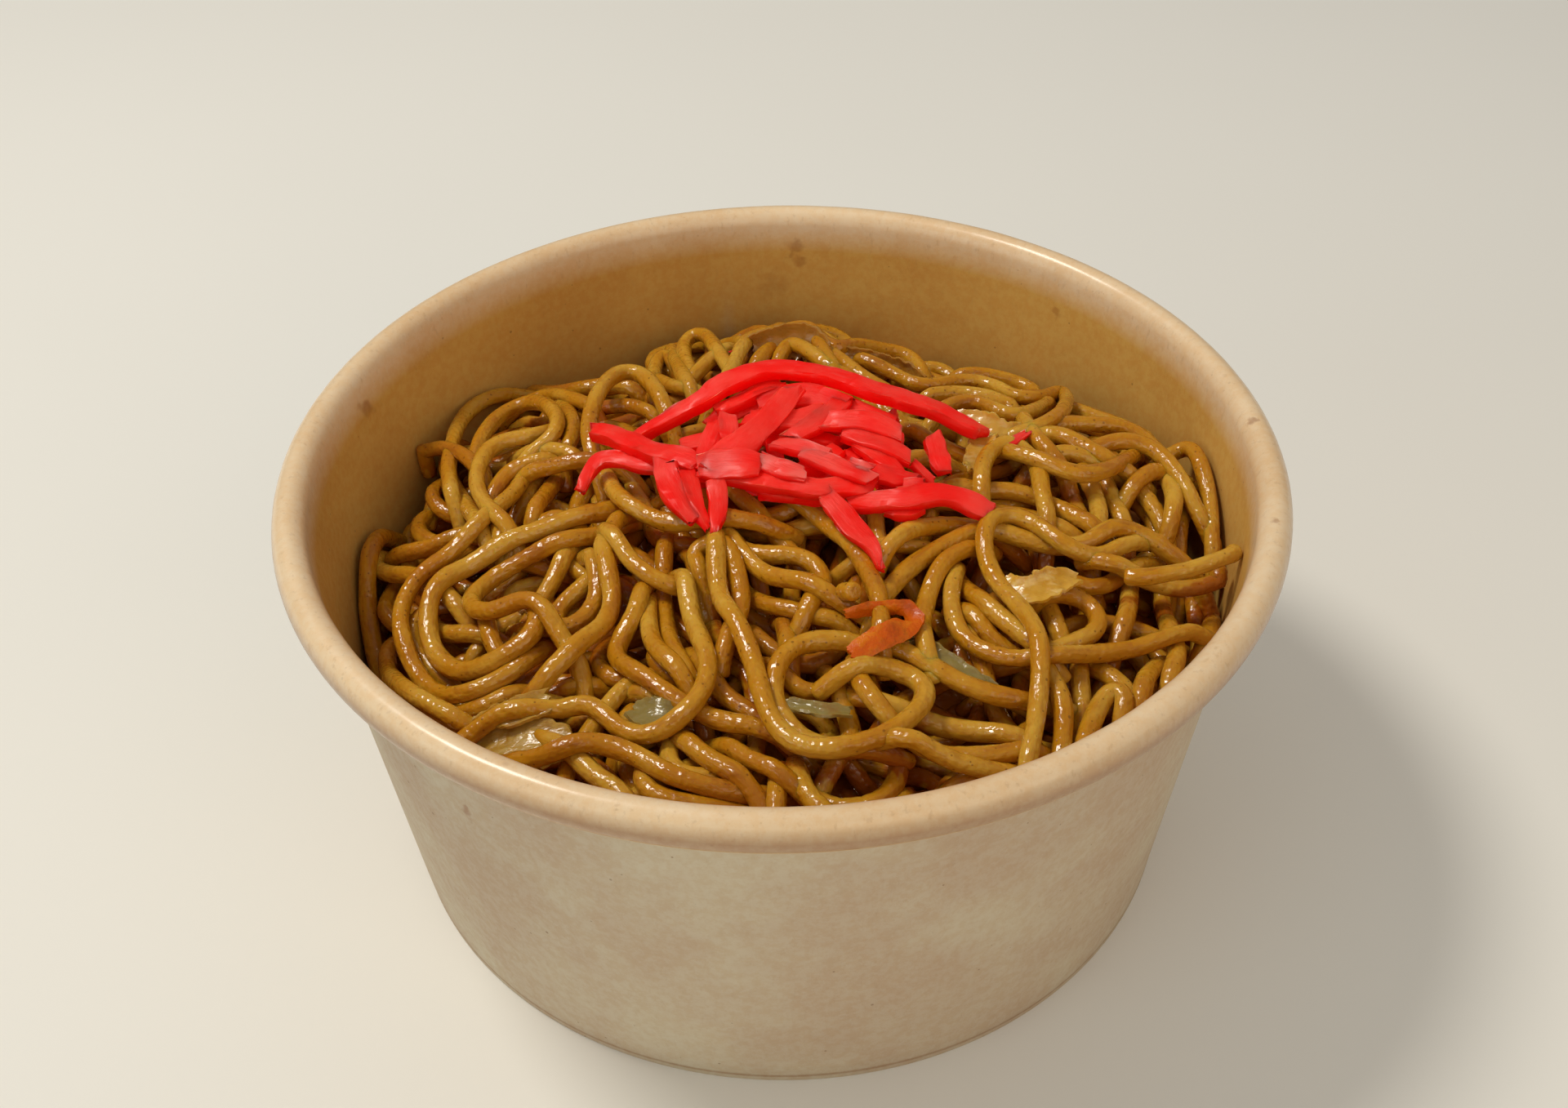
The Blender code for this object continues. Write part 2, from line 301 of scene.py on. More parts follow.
def gingerMaterial():
    made, shader, wire = newMaterial("redGinger", {
        "Subsurface Weight": 0.75,
        "Subsurface Scale": 2.2 * mm,
        "Subsurface Radius": (1.0, 0.12, 0.08),
        "Coat Roughness": 0.2,
        "Specular IOR Level": 0.22,
        # a faint red glow: painted light standing in for light scattered through the strips
        "Emission Color": (1.0, 0.01, 0.005, 1.0),
        "Emission Strength": 0.04,
    })
    look = gingerLook
    where = wire.place()
    lie = wire.node("Attribute", {"attribute_name": "lie"}, output="Vector")
    pale = wire.attribute("pale")
    depth = wire.attribute("depth")
    clouds = wire.grain(where, 160.0, 3.0, 0.55)
    fibres = wire.grain(wire.stretched(lie, (0.16, 1, 1)), 1500.0, 3.0, 0.6)
    patches = wire.grain(wire.stretched(lie, (0.5, 1, 1)), 520.0, 2.0, 0.5)
    colour = wire.mix(clouds.step(0.35, 0.65), look["top"], look["red"])
    colour = wire.mix((pale * (0.3 + patches * 1.3)).step(0.2, 1.05), colour, look["pale"])
    colour = wire.mix(fibres.step(0.55, 0.75) * 0.2, colour, look["pale"])
    # painted shade on the lower half of each strip
    under = 1 - wire.node("SeparateXYZ", None, {"Vector": lie}, "Z").step(-0.1 * mm, 0.75 * mm)
    colour = wire.mix(under * 0.9, colour, look["shadeRed"])
    # painted shade the further a point lies under the top of the ginger
    colour = wire.mix(depth.step(0.1, 0.8), colour, look["shadeRed"])
    feed(
        shader,
        Base_Color=colour,
        Roughness=0.3 + fibres * 0.25,
        Coat_Weight=0.04 + clouds * 0.1,
        Normal=wire.bump(fibres * 0.5 + patches * 0.9, 0.25 * mm, 0.8),
    )
    return made


cabbageLook = {
    "leaf": rgb(218, 168, 66),
    "vein": rgb(238, 202, 128),
    "yellow": rgb(200, 144, 26),
    "clear": rgb(126, 116, 66),
    "brown": rgb(150, 92, 20),
}


def cabbageMaterial():
    made, shader, wire = newMaterial("cookedCabbage", {
        "Subsurface Weight": 0.4,
        "Subsurface Scale": 1.5 * mm,
        "Subsurface Radius": (1.0, 0.6, 0.2),
        "Specular IOR Level": 0.7,
        "Coat Roughness": 0.12,
        "Coat IOR": 1.45,
    })
    look = cabbageLook
    where = wire.place()
    tint = wire.attribute("tint")
    clouds = wire.grain(where, 160.0, 3.0, 0.6)
    veins = wire.cells(where, 420.0, "DISTANCE_TO_EDGE")
    ribs = wire.grain(wire.place((0.6, 1.4, 1)), 420.0, 3.0, 0.55)
    colour = wire.mix(clouds.step(0.4, 0.62), look["leaf"], look["yellow"])
    colour = wire.mix(ribs.step(0.5, 0.66) * 0.6, colour, look["vein"])
    back = wire.node("SeparateXYZ", None, {"Vector": where}, "Y").step(34 * mm, 39 * mm)
    colour = wire.mix(back * 0.75, colour, look["brown"])
    colour = wire.mix(tint * 0.85, colour, look["clear"])
    colour = wire.mix(wire.grain(where, 300.0, 3.0).step(0.55, 0.75) * 0.5, colour, look["brown"])
    # painted shade: browner the further a point lies under the top of the pile
    colour = wire.mix(wire.attribute("depth").step(0.3, 1.0) * 0.6, colour, look["brown"])
    feed(
        shader,
        Base_Color=colour,
        Roughness=0.16 + clouds * 0.2,
        Coat_Weight=clouds * 0.4,
        Normal=wire.bump(veins * 0.4 + ribs, 0.4 * mm, 0.9),
    )
    return made


carrotLook = {"orange": rgb(206, 90, 0), "light": rgb(226, 134, 0), "burnt": rgb(150, 44, 2)}


def carrotMaterial():
    made, shader, wire = newMaterial("friedCarrot", {
        "Subsurface Weight": 0.2,
        "Subsurface Scale": 1.0 * mm,
        "Subsurface Radius": (1.0, 0.4, 0.1),
        "Specular IOR Level": 0.25,
        "Coat Roughness": 0.12,
    })
    look = carrotLook
    where = wire.place()
    clouds = wire.grain(where, 260.0, 4.0, 0.6)
    fibres = wire.grain(where, 520.0, 4.0, 0.6)
    colour = wire.mix(fibres.step(0.45, 0.7) * 0.7, look["orange"], look["light"])
    colour = wire.mix(clouds.step(0.5, 0.7) * 0.75, colour, look["burnt"])
    feed(
        shader,
        Base_Color=colour,
        Roughness=0.3 + fibres * 0.2,
        Coat_Weight=clouds * 0.3,
        Normal=wire.bump(fibres + clouds, 0.4 * mm, 0.8),
    )
    return made


def meshObject(name, mesh, materials, smoothDegrees=45):
    for item in materials:
        mesh.materials.append(item)
    mesh.shade_smooth()
    mesh.set_sharp_from_angle(angle=math.radians(smoothDegrees))
    made = bpy.data.objects.new(name, mesh)
    bpy.context.scene.collection.objects.link(made)
    return made


def bmeshObject(name, body, materials, smoothDegrees=45):
    mesh = bpy.data.meshes.new(name)
    body.to_mesh(mesh)
    body.free()
    return meshObject(name, mesh, materials, smoothDegrees)


def handOver(piece, slot, *nodes):
    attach(piece, "root")
    if nodes:
        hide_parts(*nodes)


def setAttribute(mesh, name, values):
    layer = mesh.attributes.new(name, "FLOAT", "POINT")
    layer.data.foreach_set("value", np.asarray(values, dtype=np.float32))


def vertexArray(mesh):
    flat = np.empty(len(mesh.vertices) * 3, dtype=np.float32)
    mesh.vertices.foreach_get("co", flat)
    return flat.reshape(-1, 3).astype(float)


bowlLook = {
    "roundSteps": 224,
    "rollWidth": 5.0 * mm,
    "rollHeight": 6.2 * mm,
    "curlEnd": math.radians(-135),
    "hemHeight": 5.0 * mm,
    "baseLift": 5.6 * mm,
    "wallSteps": 14,
    "seamAngle": math.radians(98),  # where the sleeve's two ends overlap, at the back
    "seamStep": 0.28 * mm,
    "seamFade": math.radians(9),
    "dent": 0.22 * mm,
}
rollCentre = (rimRadius - bowlLook["rollWidth"] / 2, bowlHeight - bowlLook["rollHeight"] / 2)
neckRadius = rimRadius - bowlLook["rollWidth"] + board


def wallOutside(height):
    return footRadius + (neckRadius - footRadius) * height / rollCentre[1]


def wallInside(height):
    return wallOutside(height) - board


def arcPoints(centre, halfWidth, halfHeight, start, end, steps):
    points = []
    for i in range(steps + 1):
        angle = start + (end - start) * i / steps
        points.append((centre[0] + halfWidth * math.cos(angle), centre[1] + halfHeight * math.sin(angle)))
    return points


def linePoints(start, end, steps):
    # the points strictly between two corners
    return [
        (start[0] + (end[0] - start[0]) * i / steps, start[1] + (end[1] - start[1]) * i / steps)
        for i in range(1, steps)
    ]


def spunShell(profile, steps, closedLoop):
    body = bmesh.new()
    points = [body.verts.new((radius, 0.0, height)) for radius, height in profile]
    pairs = list(zip(points, points[1:])) + ([(points[-1], points[0])] if closedLoop else [])
    edges = [body.edges.new(pair) for pair in pairs]
    bmesh.ops.spin(
        body, geom=points + edges, cent=(0, 0, 0), axis=(0, 0, 1), angle=math.tau, steps=steps, use_merge=True
    )
    bmesh.ops.remove_doubles(body, verts=body.verts, dist=1e-6)
    bmesh.ops.recalc_face_normals(body, faces=body.faces)
    return body


def buildBowl(kraft):
    look = bowlLook
    halfWidth, halfHeight = look["rollWidth"] / 2, look["rollHeight"] / 2
    channelOuter = footRadius - board
    channelInner = channelOuter - board - 0.6 * mm
    legInner = channelInner - board
    chamfer = 0.22 * mm
    footOut = (footRadius, chamfer)
    neck = (wallOutside(rollCentre[1]), rollCentre[1])
    foot = [(legInner, look["hemHeight"]), (legInner, chamfer), (legInner + chamfer, 0.0)]
    foot += [(footRadius - chamfer, 0.0), footOut] + linePoints(footOut, neck, look["wallSteps"]) + [neck]
    curlStart = math.pi * 0.86
    curlInside = arcPoints(rollCentre, halfWidth - board, halfHeight - board, curlStart, look["curlEnd"], 12)
    curlOutside = arcPoints(rollCentre, halfWidth, halfHeight, look["curlEnd"], math.pi, 28)
    innerFoot = (wallInside(look["hemHeight"]), look["hemHeight"])
    innerNeck = curlOutside[-1]
    inner = linePoints(innerNeck, innerFoot, look["wallSteps"]) + [innerFoot]
    channel = [(channelOuter, board), (channelInner, board), (channelInner, look["hemHeight"])]
    body = spunShell(foot + curlInside + curlOutside + inner + channel, look["roundSteps"], True)
    for vertex in body.verts:
        radius, height = vertex.co.xy.length, vertex.co.z
        angle = math.atan2(vertex.co.y, vertex.co.x)
        past = (angle - look["seamAngle"]) % math.tau
        underRoll = (rollCentre[1] - 2 * mm - height) / (3 * mm)
        overFoot = (height - 0.4 * mm) / (2 * mm)
        onWall = max(0.0, min(1.0, underRoll, overFoot))
        seam = look["seamStep"] * math.exp(-past / look["seamFade"]) * onWall
        swell = noise.noise(Vector((vertex.co.x * 28, vertex.co.y * 28, height * 18)))
        onRim = max(0.0, min(1.0, (height - rollCentre[1] + 2 * mm) / (4 * mm)))
        ripple = noise.noise(Vector((vertex.co.x * 160, vertex.co.y * 160, 3.0)))
        move = seam + swell * look["dent"] * onWall - abs(ripple) * 0.10 * mm * onRim
        vertex.co.xy *= (radius + move) / radius
    bowl = bmeshObject("paper_bowl", body, [kraft], 50)
    spots = vertexArray(bowl.data)
    radii = np.hypot(spots[:, 0], spots[:, 1])
    middle = footRadius + (neckRadius - footRadius) * spots[:, 2] / rollCentre[1] - board / 2
    inside = np.clip((middle - radii) / (0.1 * mm) + 0.5, 0, 1)
    inside[spots[:, 2] > rollCentre[1] - halfHeight] = 1.0
    inside[spots[:, 2] < board * 1.5] = 0.0
    setAttribute(bowl.data, "inside", inside)
    setAttribute(bowl.data, "rim", np.clip((spots[:, 2] - rollCentre[1] + halfHeight) / (2 * mm), 0, 1))
    below = rollCentre[1] + 2.2 * mm - spots[:, 2]
    # where the roll's outward lower side gets painted shade
    setAttribute(bowl.data, "side", np.clip(below / (2.2 * mm), 0, 1) * (radii > rollCentre[0]))
    # where the thin painted highlight line along the lowest edge of the roll goes
    lipSide = radii > rollCentre[0] - mm
    setAttribute(bowl.data, "lip", np.clip((below - 4 * mm) / (0.4 * mm), 0, 1) * lipSide)
    handOver(bowl, "kraft_board", "bowl_wall")

    top = look["baseLift"] + board
    bend = 0.5 * mm
    flangeOuter, flangeInner = channelOuter - 0.3 * mm, channelInner + 0.3 * mm
    disc = [(0.0, look["baseLift"])]
    disc += [(radius * mm, look["baseLift"]) for radius in range(6, 60, 6)]
    disc += [(flangeInner - bend, look["baseLift"]), (flangeInner, look["baseLift"] - bend)]
    disc += [(flangeInner, board + 0.3 * mm), (flangeOuter, board + 0.3 * mm), (flangeOuter, top - bend)]
    disc += [(flangeOuter - bend, top), (0.0, top)]
    base = bmeshObject("bowl_bottom", spunShell(disc, 96, False), [kraft], 50)
    setAttribute(base.data, "inside", vertexArray(base.data)[:, 2] > top - bend / 2)
    handOver(base, "kraft_board", "bowl_base")
    print("bowl made")


heapLook = {
    "edge": heapBox[1][2] - 11.6 * mm,  # height beside the wall
    "crown": 10 * mm,  # how much higher the middle is
    "lean": 0.055,
    "shoulder": 5 * mm,
    "leftFall": 3.0 * mm,  # how much lower the heap lies at the back, either side of the middle
    "rightFall": 5.5 * mm,
    "coreDepth": 11.5 * mm,
    "startDepth": 9.5 * mm,
}


def smooth(share):
    share = np.clip(share, 0.0, 1.0)
    return share * share * (3 - 2 * share)


def heapTop(x, y):
    # mean height of the finished heap; takes numbers or arrays
    look = heapLook
    share = np.minimum(1.0, np.hypot(x, y) / wallInside(look["edge"]))
    shoulder = look["shoulder"] * (1 - 0.8 * smooth((y + 10 * mm) / (30 * mm)))
    height = look["edge"] + look["crown"] * (1 - share**2) + look["lean"] * x - shoulder * share**14
    left = smooth((-6 * mm - x) / (18 * mm)) * smooth((x + 60 * mm) / (16 * mm))
    height = height - look["leftFall"] * smooth((y - 24 * mm) / (26 * mm)) * left
    return height - look["rightFall"] * smooth((y - 18 * mm) / (24 * mm)) * smooth((x - 6 * mm) / (18 * mm))


class Pile:
    # a height map of what already lies in the bowl
    cell = 0.5 * mm
    half = 140

    def __init__(self, depth):
        side = np.arange(-self.half, self.half + 1) * self.cell
        self.x, self.y = np.meshgrid(side, side, indexing="ij")
        self.top = heapTop(self.x, self.y) - depth

    def footprint(self, points, radius, flat=0.0):
        # map cells under a round strand at each point, and how far its surface stands above its middle there
        reach = int(math.ceil(radius / self.cell))
        steps = np.arange(-reach, reach + 1)
        di, dj = [grid.ravel() for grid in np.meshgrid(steps, steps, indexing="ij")]
        far = np.hypot(di, dj) * self.cell
        keep = far < radius
        di, dj, far = di[keep], dj[keep], far[keep]
        rise = np.full(len(far), flat) if flat else np.sqrt(radius**2 - far**2)
        i = np.rint(points[:, 0] / self.cell).astype(int) + self.half
        j = np.rint(points[:, 1] / self.cell).astype(int) + self.half
        rows = np.clip(i[:, None] + di, 0, 2 * self.half)
        columns = np.clip(j[:, None] + dj, 0, 2 * self.half)
        return rows, columns, rise

    def rest(self, points, lift, radius, flat=0.0, loops=110, sag=0.008 * mm, press=0.2 * mm):
        # heights at which a soft strand comes to rest along its route
        rows, columns, rise = self.footprint(points, radius, flat)
        floor = (self.top[rows, columns] + rise).max(axis=1) - press + lift
        height = floor.copy()
        for _ in range(loops):
            ends = np.concatenate(([height[0]], height, [height[-1]]))
            height = np.maximum(floor, (ends[:-2] + 2 * ends[1:-1] + ends[2:]) / 4 - sag)
        for _ in range(12):
            ends = np.concatenate(([height[0]], height, [height[-1]]))
            height = (ends[:-2] + 2 * ends[1:-1] + ends[2:]) / 4
        return height

    def cover(self, points, radius, flat=0.0):
        # adds a strand that has come to rest
        rows, columns, rise = self.footprint(points, radius, flat)
        np.maximum.at(self.top, (rows, columns), points[:, 2:3] + rise)

    def at(self, layer, spots):
        i = np.clip(np.rint(spots[:, 0] / self.cell).astype(int) + self.half, 0, 2 * self.half)
        j = np.clip(np.rint(spots[:, 1] / self.cell).astype(int) + self.half, 0, 2 * self.half)
        return layer[i, j]

    def settle(self, reach, bridge, target):
        # lets the pile sink or swell until its upper skin, bridging small gaps, lies at the target
        inside = (np.hypot(self.x, self.y) < 66.5 * mm).astype(float)
        skin = self.top.copy()
        count = int(bridge / self.cell)
        for di in range(-count, count + 1):
            for dj in range(-count, count + 1):
                if di * di + dj * dj <= count * count:
                    np.maximum(skin, np.roll(self.top, (di, dj), (0, 1)), out=skin)
        steps = np.arange(-int(3 * reach / self.cell), int(3 * reach / self.cell) + 1) * self.cell
        weight = np.exp(-((steps / reach) ** 2) / 2)
        spread = []
        for layer in ((skin - target) * inside, inside):
            for axis in (0, 1):
                layer = np.apply_along_axis(lambda line: np.convolve(line, weight, "same"), axis, layer)
            spread.append(layer)
        sunk = spread[0] / np.maximum(spread[1], 1e-3)
        print("the pile sank by", round(float(sunk[inside > 0].mean()) / mm, 2), "mm")
        self.top -= sunk
        return sunk

    def over(self, spots):
        # how far the top of the pile is above each of some points
        return self.at(self.top, spots) - spots[:, 2]


def smoothRoute(knots, spacing, rounds=3):
    # a smooth line through knots, with a point every spacing; a knot may carry more numbers than its place
    columns = max(3, *(len(knot) for knot in knots))
    knots = np.array([(*knot, 0.0, 0.0)[:columns] for knot in knots], dtype=float) * mm
    ends = np.vstack([2 * knots[0] - knots[1], knots, 2 * knots[-1] - knots[-2]])
    fine = []
    for a, b, c, d in zip(ends, ends[1:], ends[2:], ends[3:]):
        count = max(2, int(np.hypot(*(c - b)[:2]) / (0.3 * mm)))
        t = np.linspace(0, 1, count, endpoint=False)[:, None]
        square = (2 * a - 5 * b + 4 * c - d) * t**2
        cube = (3 * b - a - 3 * c + d) * t**3
        fine.append(0.5 * (2 * b + (c - a) * t + square + cube))
    fine = np.vstack(fine + [knots[-1:]])
    travelled = np.concatenate(([0], np.cumsum(np.hypot(*np.diff(fine[:, :2], axis=0).T))))
    count = max(3, int(travelled[-1] / spacing))
    even = np.linspace(0, travelled[-1], count + 1)
    route = np.stack([np.interp(even, travelled, fine[:, k]) for k in range(columns)], axis=1)
    for _ in range(rounds):
        route[1:-1] = (route[:-2] + 2 * route[1:-1] + route[2:]) / 4
    return route


def keepInside(route, margin):
    # moves points in from the wall
    far = np.hypot(route[:, 0], route[:, 1])
    limit = wallInside(heapTop(route[:, 0], route[:, 1]) - 4 * mm) - margin
    route[:, :2] *= np.minimum(1.0, limit / np.maximum(far, mm))[:, None]
    return route


def tuckedEnd(route, rng, length, drop):
    # carries a strand on past its last point, bending gently, and down into the pile
    spacing = np.hypot(*(route[-1] - route[-2])[:2])
    heading = math.atan2(*(route[-1] - route[-4])[[1, 0]])
    turn = rng.uniform(-0.09, 0.09) * spacing / mm
    more = []
    place = route[-1].copy()
    for i in range(int(length / spacing)):
        heading += turn
        place = place + np.array([math.cos(heading), math.sin(heading), 0.0]) * spacing
        place[2] = route[-1][2] - drop * ((i + 1) * spacing / length) ** 1.5
        more.append(place.copy())
    return np.vstack([route] + more)


def tuckBoth(route, rng, length, drop):
    route = tuckedEnd(route, rng, length, drop)
    return tuckedEnd(route[::-1], rng, length, drop)[::-1].copy()


def layStrand(pile, route, radius, **rest):
    # a third number below zero lets the strand sink that far through what lies under it
    route = keepInside(route, radius + 0.2 * mm)
    lift = np.maximum(route[:, 2], 0.0)
    sink = np.minimum(route[:, 2], 0.0)
    route[:, 2] = pile.rest(route, lift, radius, **rest) + sink
    pile.cover(route, radius)
    return route


def strandMesh(name, strands, sides):
    # open tubes, from (points, radius of each point) pairs
    curve = bpy.data.curves.new(name, "CURVE")
    curve.dimensions = "3D"
    curve.bevel_depth = 1.0
    curve.bevel_resolution = sides // 2 - 2
    for points, radii in strands:
        spline = curve.splines.new("POLY")
        spline.points.add(len(points) - 1)
        spline.points.foreach_set("co", np.column_stack([points, np.ones(len(points))]).ravel())
        spline.points.foreach_set("radius", radii)
    holder = bpy.data.objects.new(name, curve)
    bpy.context.scene.collection.objects.link(holder)
    bpy.context.view_layer.update()
    mesh = bpy.data.meshes.new_from_object(holder.evaluated_get(bpy.context.evaluated_depsgraph_get()))
    bpy.data.objects.remove(holder)
    bpy.data.curves.remove(curve)
    mesh.name = name
    mesh.materials.clear()
    return mesh


def closeEnds(mesh):
    body = bmesh.new()
    body.from_mesh(mesh)
    bmesh.ops.holes_fill(body, edges=[edge for edge in body.edges if edge.is_boundary], sides=0)
    bmesh.ops.recalc_face_normals(body, faces=body.faces)
    body.to_mesh(mesh)
    body.free()


def roundedEnds(route, radius, rng):
    # the strand's points and radii, uneven along it and rounded off at both ends
    along = route[1] - route[0], route[-1] - route[-2]
    along = [step / np.linalg.norm(step) for step in along]
    phase = rng.uniform(0, math.tau, 2)
    far = np.arange(len(route))
    radii = radius * (1 + 0.035 * np.sin(far * 0.23 + phase[0]) + 0.025 * np.sin(far * 0.61 + phase[1]))
    before = [route[0] - along[0] * radius * part for part in (0.42, 0.3)]
    after = [route[-1] + along[1] * radius * part for part in (0.3, 0.42)]
    points = np.vstack(before + [route] + after)
    radii = np.concatenate([radii[0] * np.array([0.62, 0.88]), radii, radii[-1] * np.array([0.88, 0.62])])
    return points, radii


noodleShape = {
    "radius": 1.37 * mm,
    "radiusSpread": 0.08 * mm,
    "hiddenStrands": 190,
    "hiddenSides": 10,
    "hiddenSpacing": 1.2 * mm,
    "shownSides": 14,
    "shownSpacing": 0.8 * mm,
    "backRoom": 1.8 * mm,  # how far the pile stays down under the standing strands
    "hiddenDepth": 1.0 * mm,  # how far under the heap's mean surface the hidden strands are built up
    "leftRadius": 1.44 * mm,
    "centreRadius": 1.42 * mm,
    "rightRadius": 1.38 * mm,
    "backRadius": 1.34 * mm,
    "looseRadius": 1.3 * mm,
    "hiddenTuck": (5 * mm, 4 * mm),  # how far a strand runs on past each end, and how deep it goes
    "shownTuck": (7 * mm, 5 * mm),
    "backTuck": (6 * mm, 5 * mm),
    "settleReach": 5 * mm,
    "settleBridge": 2 * mm,
    "settleLift": 0.8 * mm,
    "wallGap": 0.2 * mm,
    # how far under the top of the pile the painted shade reaches
    "shadeReach": 7 * mm,
}

# strands that show, from the lowest to the topmost: places in mm from the bowl's axis, with a third
# number where a strand stands up off the heap
leftStrands = [
    [(-51.5, -30), (-48, -31.5), (-43.5, -33), (-40, -31.5)],
    [(-52, -31), (-49, -34), (-44, -36.5), (-40, -36.5), (-36, -35)],
    [(-66, 8), (-62, 5), (-56, 3.5), (-50, 4.5), (-45, 3)],
    [(-66, 4), (-62, 0), (-58, -2.5), (-54, -6), (-51, -10)],
    [(-66, 9), (-66, 2), (-65, -6), (-62.5, -14), (-60, -19), (-56.5, -25)],
    [(-60.5, -15.5), (-59.5, -20), (-57, -25.5), (-53, -31), (-48, -35)],
    [(-41, -1), (-39.5, 1.5), (-37.5, 4, 1), (-34, 3.3, 1), (-31.5, 0.5)],
    [(-33.5, -6), (-34.5, -9), (-36.8, -13.5), (-38.3, -17.5)],
    [(-33.5, -19.5), (-34, -16.5), (-31.5, -13.5), (-28.5, -11), (-27, -7)],
    [(-35, -20.5), (-32, -21.5), (-28.8, -18.8), (-27.4, -15), (-28.2, -10)],
    [(-53, 29.5), (-49.7, 22), (-48, 14.5), (-45.5, 7.5), (-44, 2)],
    [(-57, 33), (-56, 24.5), (-53, 16), (-49.5, 8.5), (-47.5, 3.5)],
    [(-38.5, 6.5), (-37.5, 11), (-36, 16), (-34, 20)],
    [
        (-40.5, 23), (-41.2, 17), (-42.5, 10.5), (-46, 3), (-51, -2.2), (-56, -7), (-57.8, -13),
        (-56.3, -19.5), (-53, -25.3), (-49.5, -29), (-45.5, -30.6), (-41.5, -29.6), (-38, -27),
    ],
    [
        (-26, 3.5), (-32, 0.8), (-38, -1.2), (-44, -3.2), (-49.5, -6.5), (-53, -11), (-53.3, -16),
        (-51.5, -21.3), (-47.5, -25.4), (-42, -26.7), (-37.5, -25), (-35.6, -21.5), (-36.5, -18),
    ],
    [
        (-26, -0.5), (-32, -3.6), (-38.5, -5.2), (-44, -7.6), (-47, -12), (-46, -16.2), (-43, -18.4),
        (-39, -18.2), (-35.5, -20), (-33, -23.5), (-30.5, -27),
    ],
    [(-25.5, -2), (-27, -8), (-26, -13), (-25, -18), (-26, -22.5), (-29, -27.5), (-32.5, -31.3)],
    [(-36, -45), (-31, -46), (-27, -44.7), (-22, -46), (-18, -49), (-14, -51.5), (-8, -52.5), (-2, -51.5)],
]
centreStrands = [
    [(0, -23.5), (0.6, -28)],
    [(2.5, -46.5), (4.5, -44), (7, -43.5), (8, -45.5)],
    [(3.5, -52), (5.5, -53.8), (8.5, -54.6), (12, -53.6), (14.5, -51), (15.3, -47.5)],
    [(-1.2, -50), (-1.6, -57)],
    [(1.5, -50), (2.5, -54), (5, -57)],
    [(-13, -45), (-10.5, -48), (-7, -50.5)],
    [(-7.5, -45), (-5, -48), (-2.5, -50)],
    [(-18, -6.5), (-18, -12), (-17.5, -18), (-16.8, -24), (-15.2, -29.5), (-13.2, -34)],
    [(-19.8, -19), (-19.3, -25), (-18, -29.5), (-15.5, -33)],
    [(-6.5, -13), (-4.5, -17), (-1.5, -20.5), (3, -22.8), (7, -24)],
    [(0, -34), (1.5, -36), (4, -36.8), (7.5, -35.4), (10, -32.8)],
    [(-11, -32), (-8.5, -36), (-5, -38.7), (-3, -40.5)],
    [
        (-20.8, -16.5), (-21.5, -21), (-23.8, -24.6), (-24.2, -28), (-21.5, -32), (-18, -35.5),
        (-14, -38.8), (-9, -41.2), (-5, -42.3), (-1, -44),
    ],
    [(-25, -8.5), (-22.5, -12.5), (-20, -15), (-17, -16.4), (-13.8, -15.6), (-11.8, -13.3), (-11, -10)],
    [
        (-14.3, -17), (-13.2, -23), (-11.7, -28.5), (-10.6, -33.5), (-11.5, -38.5), (-14, -42),
        (-18.5, -43.6), (-22.5, -42), (-25.5, -38.8), (-28, -36.6), (-32, -37.3), (-37, -37.6),
        (-41.5, -38.3), (-46, -40.5),
    ],
    [(-9, 6), (-6.5, 1.8), (-3, -3), (0, -7), (2.6, -10.5)],
    [(-7, -8), (-3.5, -10.2), (0.5, -11), (4, -12.3), (5.9, -15.2), (5.8, -18.5), (4.5, -21)],
    [(-8, -7.5), (-6, -11), (-3.5, -14.5), (0, -17.6), (4, -20.6), (8, -22.9), (11.5, -24)],
    [
        (-12.5, -12.2), (-13.7, -10.6), (-12.3, -8.9), (-9.6, -9.2), (-7.6, -12.5), (-6.4, -17),
        (-6.2, -21.5), (-7.5, -26),
    ],
    [(7.8, -38.5), (8.6, -41.5), (9.3, -44), (7.5, -46.5)],
    [(12.5, -40), (16, -41.2), (21, -42), (26, -43), (32, -45.3)],
    [(9.8, -35.5), (10.6, -39.5), (13.2, -43), (17, -46), (21.5, -48), (26.5, -48.7), (32, -48)],
    [
        (12.5, -31), (9.5, -29.8), (5, -29.3), (1.3, -30.8), (-1, -34), (-1.6, -38.5), (-0.3, -43),
        (2.8, -46.8), (7, -48.2), (10, -48),
    ],
    [
        (-9.8, -12.5), (-9.7, -17), (-8.8, -22.5), (-6.3, -28), (-4.4, -33.5), (-3.6, -38.5), (-2.2, -44),
        (0.5, -48.3), (5, -50.2), (10, -49.5), (15, -46.7), (18.3, -42.7), (19.4, -38.8), (17.5, -36.2),
        (14, -35.4), (10.8, -36.6),
    ],
    [(-29.5, 16.5), (-28, 12), (-26.5, 6), (-24, 0.5), (-19, -3), (-13, -5.2), (-7.5, -6.3), (-4, -6.6)],
]
